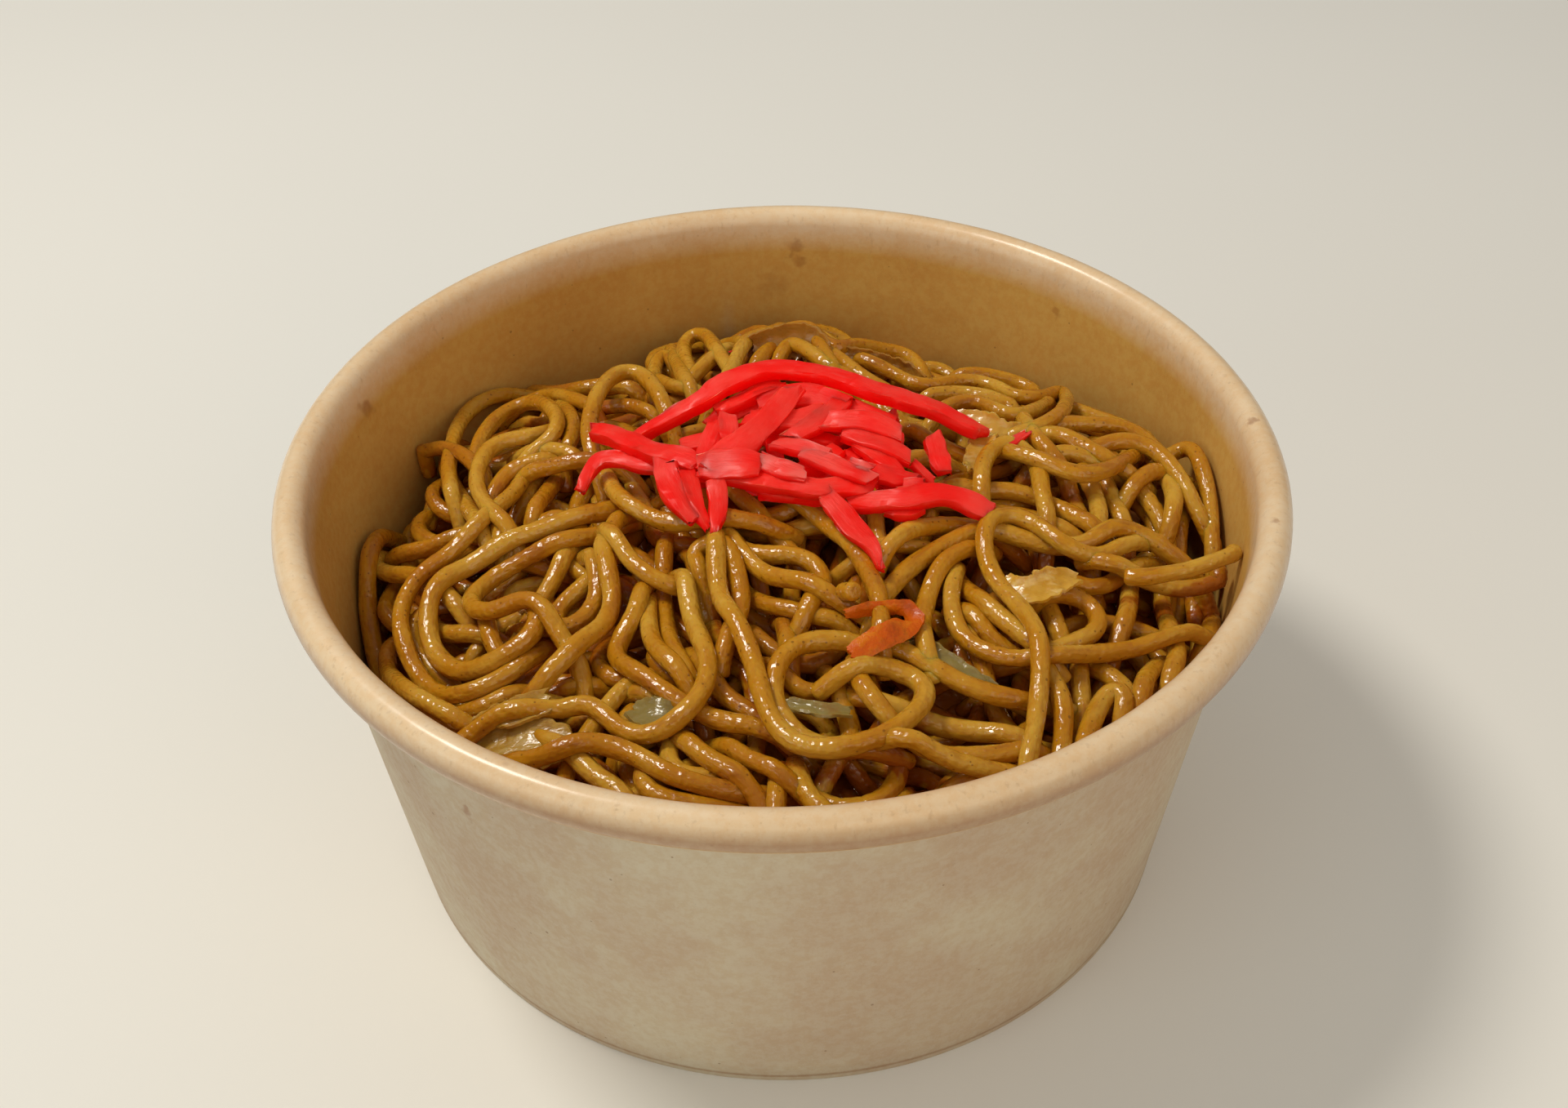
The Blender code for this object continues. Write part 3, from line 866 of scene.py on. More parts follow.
rightStrands = [
    [(45, 7), (45.8, 0), (46.1, -6), (45.5, -11)],
    [(47.5, 7), (48.8, 1), (48, -5), (46.5, -10)],
    [(50.5, 8), (52, 1), (53, -4), (52, -9)],
    [(66, 9.5), (63, 3.5), (61, -2.5), (60.5, -9)],
    [(28, 2.5), (31, 2), (35, 2.5), (39, 1.5), (42.5, -1), (46, -5)],
    [(29, -1), (33, -1), (37, -1.8), (41, -4.5)],
    [(52.5, 12), (56, 6), (58.6, 0), (59.2, -6), (58.5, -11)],
    [
        (30.5, 0.5), (31, 4.5, 1), (32.7, 9, 2), (35.7, 11.3, 2.5), (38.5, 9.8, 2), (39.9, 6, 1), (39.7, 1),
        (40, -4),
    ],
    [(62, -14), (61.5, -21), (59.5, -27)],
    [(65, -13), (63.5, -19), (61, -25)],
    [(51.3, -16), (50.2, -21), (48.2, -25.7), (46.8, -29)],
    [(45.5, -32.5), (47.8, -35.5), (49, -39)],
    [(52.8, -30.5), (50.7, -33.8), (49.5, -37.5)],
    [(57, -13), (56.4, -19), (56, -24), (56.4, -28), (54.5, -33)],
    [(38.5, -22), (39.7, -27)],
    [(41.6, -33), (41.4, -39), (39.3, -46)],
    [(40.5, -46), (42.5, -41), (45.3, -36.6), (47.3, -38.2), (46.3, -41)],
    [(27.3, -24), (29.7, -27.8), (32.7, -29.7)],
    [(18.5, -29.5), (22.5, -33.3), (27, -36), (32, -37.5)],
    [(15.5, -32), (20, -34.7), (24, -37.2), (29, -39), (35, -39)],
    [(18, -50), (24, -51.5), (30, -51.3)],
    [(39.5, -20.8), (43, -20.3), (45.3, -23), (45, -26), (42.5, -28.4), (39.3, -29.8), (36.5, -30.5)],
    [(36.8, -35), (38.1, -40), (37.5, -45.5), (36.5, -50)],
    [(25.5, -11), (26.3, -16), (28.3, -21.3), (31, -25.5), (34.3, -29.5)],
    [
        (25.5, -15.5), (24.3, -20), (24.3, -25), (25.7, -29), (28.5, -31.4), (32, -33.2), (35.5, -33.8),
        (39.5, -32.8), (44, -31.3), (49, -29.6), (54, -27.7), (58, -26),
    ],
    [(14, -12), (17, -11), (20.3, -10.3)],
    [(15.5, -13.5), (19, -9.8), (23.5, -6.5), (28, -5.8), (31, -6.5)],
    [(27, -12.3), (23.6, -15), (21.2, -19.5), (19.8, -25), (19.5, -30)],
    [(42, -15.8), (46, -16.8), (50, -14), (53.5, -11)],
    [
        (14.3, -21.5), (17.5, -16.5), (21.5, -12.7), (26, -9.6), (30, -7.9), (34.5, -8.5), (39, -10),
        (43, -10.5), (46.3, -9.6), (49.3, -7.4), (53, -7), (57, -8.5), (60.5, -10.5),
    ],
    [
        (32.3, -50), (33.4, -46), (34.5, -41), (35.3, -36), (35.2, -31), (33.8, -26), (31.7, -21),
        (30, -16), (29.6, -11.5), (31.3, -7.6), (34.6, -6), (37.9, -8), (40, -11.3), (43, -13.3),
        (46.5, -12.8), (50, -10.8),
    ],
    [(50, -15.5), (56, -16.5, 1), (62, -15.8, 2.5), (66, -15, 5)],
    [
        (-4, 3.8), (-1, 1.8), (2.5, -1.5), (6.3, -5.8), (9.3, -10.5), (11.6, -15.7), (13, -21), (13.8, -26),
        (13.6, -29.5),
    ],
]
# strands that stand up at the back, with their height over the table as third number
backStrands = [
    [
        (-43.7, 49.1, 45.8), (-39.8, 47.3, 46.9), (-35.9, 45.5, 48.7), (-32.4, 44.6, 49.9),
        (-29.5, 44.3, 50.5), (-26.1, 41.7, 51.6),
    ],
    [
        (-53.1, 12.9, 52.1), (-54.4, 18.8, 51.7), (-54.8, 25, 51.3), (-54.9, 32.5, 50.2),
        (-53.7, 38.4, 49.5), (-51.5, 41.4, 49.6), (-49.1, 44.1, 48.7), (-46.6, 46.5, 47.1),
        (-44.2, 47.1, 46.1),
    ],
    [(-37.2, 37.5, 50.7), (-34.9, 29, 54.3), (-34, 23.8, 55.3), (-34.6, 20.6, 54.9)],
    [(-29.8, 32.4, 53.8), (-27.4, 31.4, 54.9), (-24.5, 30.2, 55.7), (-21.6, 27.5, 56.3)],
    [(-43.9, 43.3, 47.8), (-41, 43.7, 48.8), (-37.2, 39.2, 51.6), (-34.2, 35.1, 53.5), (-31.7, 32.2, 54.2)],
    [(-45.5, 11.8, 53.2), (-44, 15, 53.8), (-41.4, 16.1, 54.6), (-38.5, 16.6, 55)],
    [(-39.3, 19.6, 54.6), (-36.5, 18.7, 55.7), (-33.6, 16.6, 56)],
    [
        (-50.2, 22.2, 52.2), (-49.7, 26.8, 52.4), (-48.2, 32.3, 51.9), (-45.7, 36.6, 51.3),
        (-42.6, 37, 52.1), (-39.3, 32.4, 54.6), (-36.9, 26.3, 56.6), (-36.4, 22.6, 56.9),
        (-37.5, 20.3, 56.3), (-39.3, 19.7, 55.2),
    ],
    [
        (-38.2, 13.9, 55.2), (-35.4, 13.2, 56.5), (-32.7, 13.2, 57.2), (-29.9, 13.2, 57.4),
        (-27.3, 12.3, 57.5),
    ],
    [
        (-38.3, 25.5, 54.2), (-40.4, 24, 54.5), (-42.9, 23.3, 54.6), (-45.8, 22.6, 54.4),
        (-47.9, 20.6, 54.2), (-48.7, 16.8, 54.3), (-48.7, 11.9, 54.4), (-47.3, 7.4, 54.5),
        (-45.2, 3.8, 54.8), (-43.2, 1.4, 54.7),
    ],
    [(-59.5, 27.8, 49), (-56.7, 26.3, 50.7), (-53.9, 23.3, 52.2), (-51.3, 20.2, 53.1), (-49.3, 17, 53.3)],
    [
        (-29.5, 12.9, 57.1), (-30.4, 16.2, 58.1), (-30.9, 20.2, 58.9), (-30.6, 24.5, 59.5),
        (-29.6, 29.5, 59.6), (-27.9, 34.2, 59), (-25.6, 36.7, 58.3), (-23.1, 35.3, 58.4),
        (-21.1, 31.8, 58.6), (-19.6, 28.1, 58.5), (-18.6, 25.5, 57.7),
    ],
    [(-21.6, 39.1, 53.2), (-21.9, 46.5, 51.5), (-21.5, 51.3, 50.8), (-20.2, 52.8, 50.8), (-19, 49.6, 51.5)],
    [(-19, 54.1, 50.3), (-17.8, 46, 53.3), (-16.5, 38.9, 55.6), (-15, 34, 56.6)],
    [(-22, 44, 51.6), (-19.5, 38.9, 54), (-16.9, 34.7, 55.9), (-14.3, 33.6, 56.2)],
    [
        (-15.2, 41, 54.8), (-16.4, 46.7, 53.8), (-16.9, 52.6, 52.6), (-15.9, 56.2, 52.3), (-13.9, 56, 53),
        (-12.3, 52.1, 54.4), (-10.7, 45.9, 55.9), (-9.2, 41.2, 56.6), (-8, 37.9, 56.8),
    ],
    [(-14.8, 39.3, 55), (-12.9, 42, 55.5), (-11.3, 44.5, 55.6), (-9.6, 47, 55.1)],
    [
        (-9.6, 32.7, 57.4), (-8.4, 35.8, 57.9), (-7.2, 40.9, 57.8), (-6, 45.7, 57.4), (-4.2, 49.1, 56.6),
        (-1.9, 50.8, 55.8), (-0.2, 53.5, 54.9),
    ],
    [
        (-2.5, 49.2, 55.5), (-0.2, 50.3, 56.4), (2.4, 50.9, 57), (4.6, 51.3, 57), (6, 50, 57.2),
        (7, 44.4, 58.1), (8.1, 39.7, 58.2), (9.4, 36, 58),
    ],
    [
        (0.6, 43.5, 56.9), (1.8, 46.3, 57), (3.7, 44.1, 57.7), (5.9, 40.8, 58.2), (8.3, 37.2, 58.2),
        (11.3, 34.9, 57.7),
    ],
    [(-3.3, 42.2, 56.5), (-1.3, 45.9, 56.3), (1, 49.3, 55.7)],
    [
        (6.7, 50.9, 55.6), (9.4, 44.3, 57.1), (13.1, 47.8, 55.3), (16.8, 50.3, 53), (21, 51.9, 51),
        (23.8, 49.9, 50.7), (24.9, 46, 50.9),
    ],
    [(9, 42.6, 56.9), (11.4, 39.1, 57.2), (14, 35.2, 57.1), (17, 33.5, 56.2)],
    [
        (14.5, 44.2, 54.7), (17.5, 42.1, 54.5), (20.5, 40.1, 53.8), (23.3, 36.8, 54.3), (26.7, 37.2, 53.9),
        (30.3, 39.1, 53.2), (34, 39.7, 52.7), (37.1, 37.6, 52.9), (39.3, 32.8, 54.5), (42.2, 32, 54.3),
        (46.1, 36.7, 51.6), (48.8, 40.1, 49.9), (48.7, 34.2, 52.5), (45.8, 22.1, 58.6), (43, 17.5, 60),
        (40.1, 15.4, 60.3), (37.7, 14.6, 59.9),
    ],
    [
        (26.7, 23, 59.1), (29.6, 25.4, 58.6), (32.6, 25.3, 58.6), (34.8, 21.8, 59.4), (37.6, 20.2, 59.3),
        (40.9, 22.8, 58.1), (44.6, 30.9, 53.7),
    ],
    [(25.6, 33.4, 54.4), (29.8, 34.7, 53.8), (34.5, 33.1, 54.1), (38, 28, 55.9)],
    [
        (41, 17.7, 58.7), (44.3, 18.6, 58.6), (48.1, 19.3, 58.1), (52.2, 19.8, 57.5), (55.7, 19.7, 56.9),
        (58.2, 18.4, 56.3), (59.7, 16.3, 55.6),
    ],
    [(39.3, 18.8, 59.2), (39.9, 14.2, 60.2), (41.3, 10.7, 60.3), (42.7, 8.8, 59.4)],
    [(40.6, 14.6, 59.3), (43.7, 14.5, 59.7), (46.7, 12.4, 59.6), (49.7, 9.6, 59.3), (52.4, 8.1, 58.3)],
    [(42.3, 9.5, 59.2), (44.7, 10.2, 59.4), (46.9, 9.6, 59.1), (49.2, 8.9, 58.2)],
    [
        (35.3, 9.7, 60.2), (37.6, 7.4, 61), (40.1, 5.6, 61.4), (42.8, 3.4, 61.3), (45.7, 2.3, 60.9),
        (49, 3.6, 60.2), (52.1, 6.7, 59), (55.4, 11.4, 57.1),
    ],
    [
        (49.8, 12.8, 58.1), (52.4, 13.6, 58.6), (55.9, 13.9, 58.5), (58.8, 12.4, 58.1), (60.9, 9.4, 57.6),
        (62.4, 5.9, 56.8), (63.3, 3, 55.9), (64, 1.3, 54.7),
    ],
    [(55.4, 5.1, 57.1), (57.2, 6.9, 57.3), (59.4, 8.7, 56.7), (61, 8.6, 55.5)],
    [(60.8, 7.2, 55.6), (61, 3.1, 55.9), (60.1, -0.7, 55.7)],
    [
        (62.9, 14.5, 55.3), (64.6, 15.7, 55.5), (65.7, 13.1, 57.1), (66.2, 9.8, 56.8), (66.5, 6.4, 55.8),
        (66.7, 3.3, 54.7), (66.4, -0.1, 53.5), (65.9, -3.8, 52.6),
    ],
]


def wanderRoute(rng, pile, wanted, start, length, spacing):
    # a strand's aimless curl inside the bowl, drawn to where the pile is low and turned back from the wall
    heading = rng.uniform(0, math.tau)
    bend = rng.uniform(-0.12, 0.12)
    place = np.array(start, dtype=float)
    route = []
    feelers = np.array([-0.7, 0.7])
    for _ in range(int(length / spacing)):
        route.append((*place, 0.0))
        bend = 0.88 * bend + rng.normal(0, 0.05)
        feel = place + 6 * mm * np.stack([np.cos(heading + feelers), np.sin(heading + feelers)], axis=1)
        lack = pile.at(wanted - pile.top, feel)
        bend += float(np.clip((lack[1] - lack[0]) / (6 * mm), -1, 1)) * 0.05
        far = np.hypot(*place)
        if far > 54 * mm:
            outward = math.atan2(place[1], place[0])
            aside = math.sin(heading - outward)
            push = (far - 54 * mm) / (10 * mm)
            bend += push * 0.12 * (1 if aside >= 0 else -1) * (math.cos(heading - outward) > -0.2)
        bend = max(-0.22, min(0.22, bend))
        heading += bend * spacing / mm
        place = place + np.array([math.cos(heading), math.sin(heading)]) * spacing
        if np.hypot(*place) > 65 * mm:
            place *= 65 * mm / np.hypot(*place)
    route = np.array(route)
    for _ in range(4):
        route[1:-1] = (route[:-2] + 2 * route[1:-1] + route[2:]) / 4
    return route


def hiddenStrands(pile, rng):
    # strands that start where the pile is furthest below its finished height
    laid = []
    wanted = heapTop(pile.x, pile.y) - noodleShape["hiddenDepth"]
    allowed = np.hypot(pile.x, pile.y) < 64.5 * mm
    for _ in range(noodleShape["hiddenStrands"]):
        lack = np.where(allowed, wanted - pile.top, -1.0)
        spot = rng.choice(np.argsort(lack.ravel())[-1500:])
        start = pile.x.ravel()[spot], pile.y.ravel()[spot]
        route = wanderRoute(rng, pile, wanted, start, rng.uniform(35, 80) * mm, noodleShape["hiddenSpacing"])
        route = tuckBoth(route, rng, *noodleShape["hiddenTuck"])
        radius = noodleShape["radius"] + rng.uniform(-1, 1) * noodleShape["radiusSpread"]
        laid.append((layStrand(pile, route, radius, sag=0.02 * mm), radius))
    return laid


def shownStrands(pile, rng, lists, meanRadius):
    # strands that come to rest on the pile, one after another
    laid = []
    for knots in lists:
        route = smoothRoute(knots, noodleShape["shownSpacing"], 8)
        route = tuckBoth(route, rng, *noodleShape["shownTuck"])
        radius = meanRadius + rng.uniform(-1, 1) * noodleShape["radiusSpread"]
        laid.append((layStrand(pile, route, radius), radius))
    return laid


# short pieces on top with both ends in sight
looseStrands = [
    [
        (49.9, -19.3, 58.7), (52, -19.9, 59), (55, -19.2, 59), (58.7, -18.4, 59), (62.6, -16.9, 59.2),
        (65.4, -15.3, 59), (67, -14, 58.4),
    ],
    [(8.6, -22.4, 59.6), (9.4, -23.4, 60.6), (9.9, -24.2, 61.2)],
]


def standingStrands(pile, rng, lists, meanRadius, tucked=True):
    # strands that keep the heights they are given
    laid = []
    for knots in lists:
        route = smoothRoute(knots, noodleShape["shownSpacing"], 6)
        if tucked:
            route = tuckBoth(route, rng, *noodleShape["backTuck"])
        radius = meanRadius + rng.uniform(-1, 1) * noodleShape["radiusSpread"]
        pile.cover(route, radius)
        laid.append((route, radius))
    return laid


def noodlePiece(name, laid, sides, rng, noodle):
    ready = [roundedEnds(route, radius, rng) for route, radius in laid]
    mesh = strandMesh(name, ready, sides)
    counts = [len(points) * sides for points, _ in ready]
    setAttribute(mesh, "strand", np.repeat(rng.uniform(-1, 1, len(ready)), counts))
    around = np.arange(sides) * math.tau / sides
    lie = []
    for points, _ in ready:
        travelled = np.concatenate(([0], np.cumsum(np.linalg.norm(np.diff(points, axis=0), axis=1))))
        travelled += rng.uniform(0, 9)
        lie.append(np.stack([
            np.repeat(travelled, sides),
            np.tile(np.cos(around) * noodleShape["radius"], len(travelled)),
            np.tile(np.sin(around) * noodleShape["radius"], len(travelled)),
        ], axis=1))
    layer = mesh.attributes.new("lie", "FLOAT_VECTOR", "POINT")
    layer.data.foreach_set("vector", np.vstack(lie).astype(np.float32).ravel())
    closeEnds(mesh)
    piece = meshObject(name, mesh, [noodle], 60)
    handOver(piece, "noodle")
    return piece


def buildCore(noodle):
    # the hidden middle of the heap, just under the lowest strands
    floor = heapBox[0][2]
    edge = heapLook["edge"] - heapLook["shoulder"] - heapLook["coreDepth"] - 1 * mm
    rings = 24
    profile = [(0.0, floor), (wallInside(floor) - 0.3 * mm, floor), (wallInside(edge) - 0.3 * mm, edge)]
    profile += [(wallInside(edge) * (1 - ring / rings) * 0.99, 1.0) for ring in range(rings + 1)]
    body = spunShell(profile, 96, False)
    for vertex in body.verts:
        if vertex.co.z > 0.5:
            x, y = vertex.co.x, vertex.co.y
            ridge = math.sin(x / (1.1 * mm) + 3 * math.sin(y / (9 * mm))) * 0.4 * mm
            vertex.co.z = float(heapTop(x, y)) - heapLook["coreDepth"] + ridge
    core = bmeshObject("noodle_core", body, [noodle], 80)
    setAttribute(core.data, "strand", np.zeros(len(core.data.vertices)))
    # the whole core gets the deepest painted shade
    setAttribute(core.data, "depth", np.ones(len(core.data.vertices)))
    handOver(core, "noodle", "noodles")


def sauceDepth(piece, pile, reach):
    # how far each point lies under the top of the pile, which the materials turn into painted shade: darker
    # the further down
    spots = vertexArray(piece.data)
    setAttribute(piece.data, "depth", np.clip(pile.over(spots) / reach, 0, 1))


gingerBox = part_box("pickled_ginger")
gingerShape = {
    "spacing": 0.6 * mm,
    "sides": 16,
    "square": 0.22,
    "grain": 0.1 * mm,
    "fillers": 34,
    "fillerRest": {"loops": 160, "sag": 0.004 * mm, "press": 0.5 * mm},
    "fillerDepth": 5.4 * mm,  # how far the fillers stay under the top of the ginger
    # how far under the top of the ginger the painted shade reaches
    "shadeReach": 3.5 * mm,
}

# each strip's thickness in mm, lean in degrees and paleness, then its places: x and y in mm from the bowl's
# axis, mm below the top of the ginger, and width in mm
gingerStrips = [
    (2.0, -4, 0.25, [
        (-23.5, 13.5, 8.6, 2), (-21, 14.6, 7.4, 2.2), (-18, 15.5, 6.2, 2.4), (-15, 16.5, 4.7, 2.7),
        (-12, 17.5, 3.4, 3), (-9.5, 19.5, 2.5, 3.3), (-6.5, 21, 1.9, 3.4), (-3.5, 22, 1.5, 3.3),
        (0, 22.5, 1.4, 3.2), (3.5, 22, 1.5, 3.2), (7.5, 21, 1.7, 3.2), (11, 19.5, 2, 3.3),
        (14.5, 17.5, 2.4, 3.5), (18, 16.5, 2.9, 3.7), (21, 15.5, 3.5, 3.8), (23.5, 15, 4.1, 3.7),
        (26, 14, 4.9, 3.4), (29, 12.5, 6, 3.2), (31.5, 12, 7.1, 3),
    ]),
    (1.8, 6, 0.35, [
        (-30, 16, 8.2, 2.8), (-27, 14, 7.4, 3.4), (-23, 10, 6.4, 3.8), (-19.5, 6.5, 5.5, 3.8),
        (-15.5, 4, 4.9, 3.8), (-12.5, 2, 4.7, 3.4),
    ]),
    (1.6, 20, 0.2, [
        (-31, 3, 10.1, 1.4), (-30, 6, 9, 2), (-28, 8.5, 8.2, 2.4), (-25, 8, 7.8, 2.6), (-21.5, 6, 7.4, 2.6),
        (-18.5, 5, 7.2, 2.4),
    ]),
    (1.6, 12, 0.4, [
        (-17.5, 2.5, 4.4, 4.2), (-17, -1, 5.2, 3.8), (-15.5, -5, 6.1, 3.4), (-13, -8.5, 7.1, 1.8),
    ]),
    (1.5, -20, 0.0, [
        (-14.5, 1, 4.8, 3), (-13.5, -3, 5.8, 2.8), (-12.5, -6.5, 6.8, 2.2), (-11, -9.5, 7.7, 1.2),
    ]),
    (1.5, 0, 0.3, [
        (-10, -1.5, 4.6, 2.9), (-9.5, -4.5, 5.7, 2.9), (-9.5, -7, 6.8, 2.6), (-10, -10.5, 7.8, 1.2),
    ]),
    (1.7, 18, 0.3, [
        (-11, -0.5, 4.4, 4.6), (-8.5, 2, 3.6, 5.2), (-5.5, 5, 2.9, 4.6), (-2.5, 9, 2.3, 3.9),
        (0, 13, 2, 3.7), (2, 17, 1.8, 3.4),
    ]),
    (2.0, 14, 0.3, [
        (-12.5, 1, 4.2, 4.4), (-9.5, 0.5, 3.7, 5.2), (-6, 0, 3.2, 5.4), (-2.5, -0.5, 3.6, 4.4),
    ]),
    (1.6, 0, 0.4, [(-8, 7, 4.4, 3), (-8, 10.5, 4, 3), (-8, 13, 3.6, 2.6)]),
    (1.8, 10, 0, [(-5.5, 13, 4.4, 3.6), (-1, 12, 4, 4), (4, 12, 3.8, 4), (8, 14.5, 4, 3.4)]),
    (1.8, 25, 0, [(-3.5, 17.5, 4.2, 3.4), (1, 18.5, 3.8, 4), (5.5, 18, 3.8, 4), (10, 16, 4, 3.6)]),
    (1.6, 0, 0, [(1.5, 7.5, 4.2, 3.2), (5, 10.5, 3.8, 3.4), (8, 14, 3.8, 3.2), (10.5, 17.5, 4, 3)]),
    (1.8, 0, 0, [(-10, 16, 4.8, 2.6), (-6.5, 17.5, 4.2, 3), (-3, 19.5, 3.6, 3), (0, 21.5, 3.4, 3)]),
    (1.6, 0, 0.05, [(-12, 3.5, 5.2, 2.8), (-11, 7.5, 4.6, 2.8), (-10, 12, 4, 2.4)]),
    (1.9, 8, 0.35, [
        (7, 10, 2.8, 3.2), (10.5, 9.5, 2.3, 3.4), (14.5, 8.5, 2.4, 3.4), (18.5, 6.5, 3.1, 2.9),
    ]),
    (1.8, 10, 0.4, [(9.5, 8.5, 3.6, 2.8), (13, 6, 3.5, 3), (16.5, 4, 3.8, 3.1), (19.5, 2, 4.4, 2.6)]),
    (1.4, 16, 0.7, [(-1, 4.5, 2.8, 2.2), (3, 3, 2.5, 2.7), (7, 1, 2.7, 2.2)]),
    (1.4, 20, 1.0, [(-3, 0.5, 3, 2.6), (0.5, -2, 2.9, 3.1), (3.5, -3, 3.3, 2.2)]),
    (1.6, 10, 0.6, [(3, 1.5, 2.7, 2.4), (6.5, -0.5, 2.6, 2.8), (10, -2.5, 3, 2.8), (13.5, -4, 3.7, 2.2)]),
    (1.0, 15, 1.2, [(10.5, -1, 2.4, 1.6), (12, -2, 2.4, 1.9), (13.5, -2.5, 2.6, 1.5)]),
    (1.9, 14, 0.1, [
        (-11.5, 0.5, 5.2, 3), (-6.5, -1, 4.8, 3.4), (-2.5, -2.5, 4.6, 3.4), (1.5, -3.5, 4.6, 3.2),
        (5.5, -4.5, 4.8, 3), (10, -4, 4.8, 3.2), (14, -3.5, 5, 2.6),
    ]),
    (1.8, 10, 0, [(-3, -2.5, 6.2, 3), (2.5, -3.5, 6.2, 3), (7, -4.5, 6.2, 2.6)]),
    (1.6, 0, 0.0, [(23.5, 9.5, 5.6, 3.2), (24, 7, 6.1, 3.2), (24.5, 4, 6.6, 3.1), (25, 2, 7.1, 2.9)]),
    (1.2, 0, 0.0, [(20, 2.5, 5.4, 1.8), (21.5, 1, 6.2, 1.6), (23, -0.5, 7, 1.3)]),
    (1.8, 0, 0.05, [(12, 7, 4.2, 3.4), (14, 4, 4.2, 3.4), (16, 1, 4.6, 3.2), (18, -2, 5.2, 2.6)]),
    (1.7, 8, 0.1, [(13, -1, 4.2, 2.8), (16.5, -2, 4.6, 2.8), (20, -2.5, 5.2, 2.4)]),
    (1.9, 10, 0.45, [
        (10, -6, 6.4, 2.2), (13, -6.5, 6, 2.8), (15.5, -6.5, 5.6, 3.1), (18, -7, 5.1, 3.7),
        (20.5, -6.5, 4.8, 3.5), (23.5, -6, 5, 3.2), (26.5, -6, 5.8, 3.5), (29, -7, 6.6, 3.5),
        (31, -7.5, 7.3, 3.1),
    ]),
    (1.7, 10, 0.0, [(16, -7, 6.8, 2.6), (18.5, -8, 6.6, 2.8), (21, -7, 6.6, 2.2)]),
    (1.4, 10, 0.35, [
        (6.5, -5.5, 4.8, 2.8), (7.5, -7.5, 5.1, 3.2), (9, -9.5, 5.7, 3.6), (10.5, -12, 6.4, 3.5),
        (12.5, -14.5, 6.9, 2.7), (13.5, -16.5, 7.4, 1.7), (14, -19.5, 8, 0.7),
    ]),
    (1.2, 0, 0.9, [(-4.5, -3, 6, 1.8), (-3, -2.5, 6.2, 1.4)]),
    (1.2, 10, 0.6, [(18, -4.5, 4.4, 1.8), (20, -4, 4.3, 2.2), (21.5, -4, 4.6, 1.5)]),
    (1.8, 30, 0, [
        (-11, 15, 6.6, 2.6), (-7, 17.5, 5.2, 3.4), (-2, 19, 4.4, 3.8), (4, 19, 4.4, 3.8),
        (9, 17.5, 4.8, 3.6), (13.5, 15, 5.4, 3.4), (18, 13.5, 6.2, 2.6),
    ]),
    (1.6, 20, 0, [(4, 14.5, 5.6, 3), (9, 13.5, 5.4, 4), (14, 11.5, 5.8, 4), (19, 9.5, 6.6, 3)]),
    (1.0, 10, 0.5, [(34.5, 9.5, 8, 1.4), (36.5, 10.5, 7.7, 1.8), (39, 13, 7.8, 1)]),
    (0.6, 0, 0.2, [(-8, 41.5, 10.6, 0.9), (-6.6, 42.2, 10.6, 0.7)]),
]


def stripMesh(name, strips, look, rng):
    # flat-sided strips with torn ends, swept along their routes
    sides = look["sides"]
    mesh = strandMesh(name, [(strip["route"], np.full(len(strip["route"]), mm)) for strip in strips], sides)
    around = np.arange(sides) * math.tau / sides
    u, v = [np.sign(part) * np.abs(part) ** look["square"] for part in (np.cos(around), np.sin(around))]
    spots, lies, pales = [], [], []
    for strip in strips:
        route = strip["route"]
        along = np.gradient(route, axis=0)
        along /= np.linalg.norm(along, axis=1)[:, None]
        level = np.cross((0.0, 0.0, 1.0), along)
        level /= np.linalg.norm(level, axis=1)[:, None]
        upright = np.cross(along, level)
        cos, sin = np.cos(strip["leans"])[:, None], np.sin(strip["leans"])[:, None]
        across, up = level * cos + upright * sin, upright * cos - level * sin
        grain = rng.normal(0, look["grain"], (2, len(route), sides))
        for _ in range(6):
            grain[:, 1:-1] = (grain[:, :-2] + 2 * grain[:, 1:-1] + grain[:, 2:]) / 4
        sideways = u * strip["widths"][:, None] / 2 + grain[0] * 2
        upwards = v * strip["thicknesses"][:, None] / 2 + grain[1] * 2
        ring = route[:, None] + across[:, None] * sideways[:, :, None] + up[:, None] * upwards[:, :, None]
        for end, sign in ((0, -1), (-1, 1)):
            torn = u * rng.uniform(-0.5, 0.5) * strip["widths"][end] + rng.normal(0, 0.16 * mm, sides)
            ring[end] += sign * along[end] * torn[:, None]
        travelled = np.concatenate(([0], np.cumsum(np.linalg.norm(np.diff(route, axis=0), axis=1))))
        lengthways = np.repeat(travelled[:, None], sides, 1) + rng.uniform(0, 9)
        lie = np.stack([lengthways, sideways, upwards], axis=2)
        spots.append(ring.reshape(-1, 3))
        lies.append(lie.reshape(-1, 3))
        pales.append(np.repeat(strip["pales"], sides))
    mesh.vertices.foreach_set("co", np.vstack(spots).astype(np.float32).ravel())
    layer = mesh.attributes.new("lie", "FLOAT_VECTOR", "POINT")
    layer.data.foreach_set("vector", np.vstack(lies).astype(np.float32).ravel())
    setAttribute(mesh, "pale", np.concatenate(pales))
    closeEnds(mesh)
    return mesh


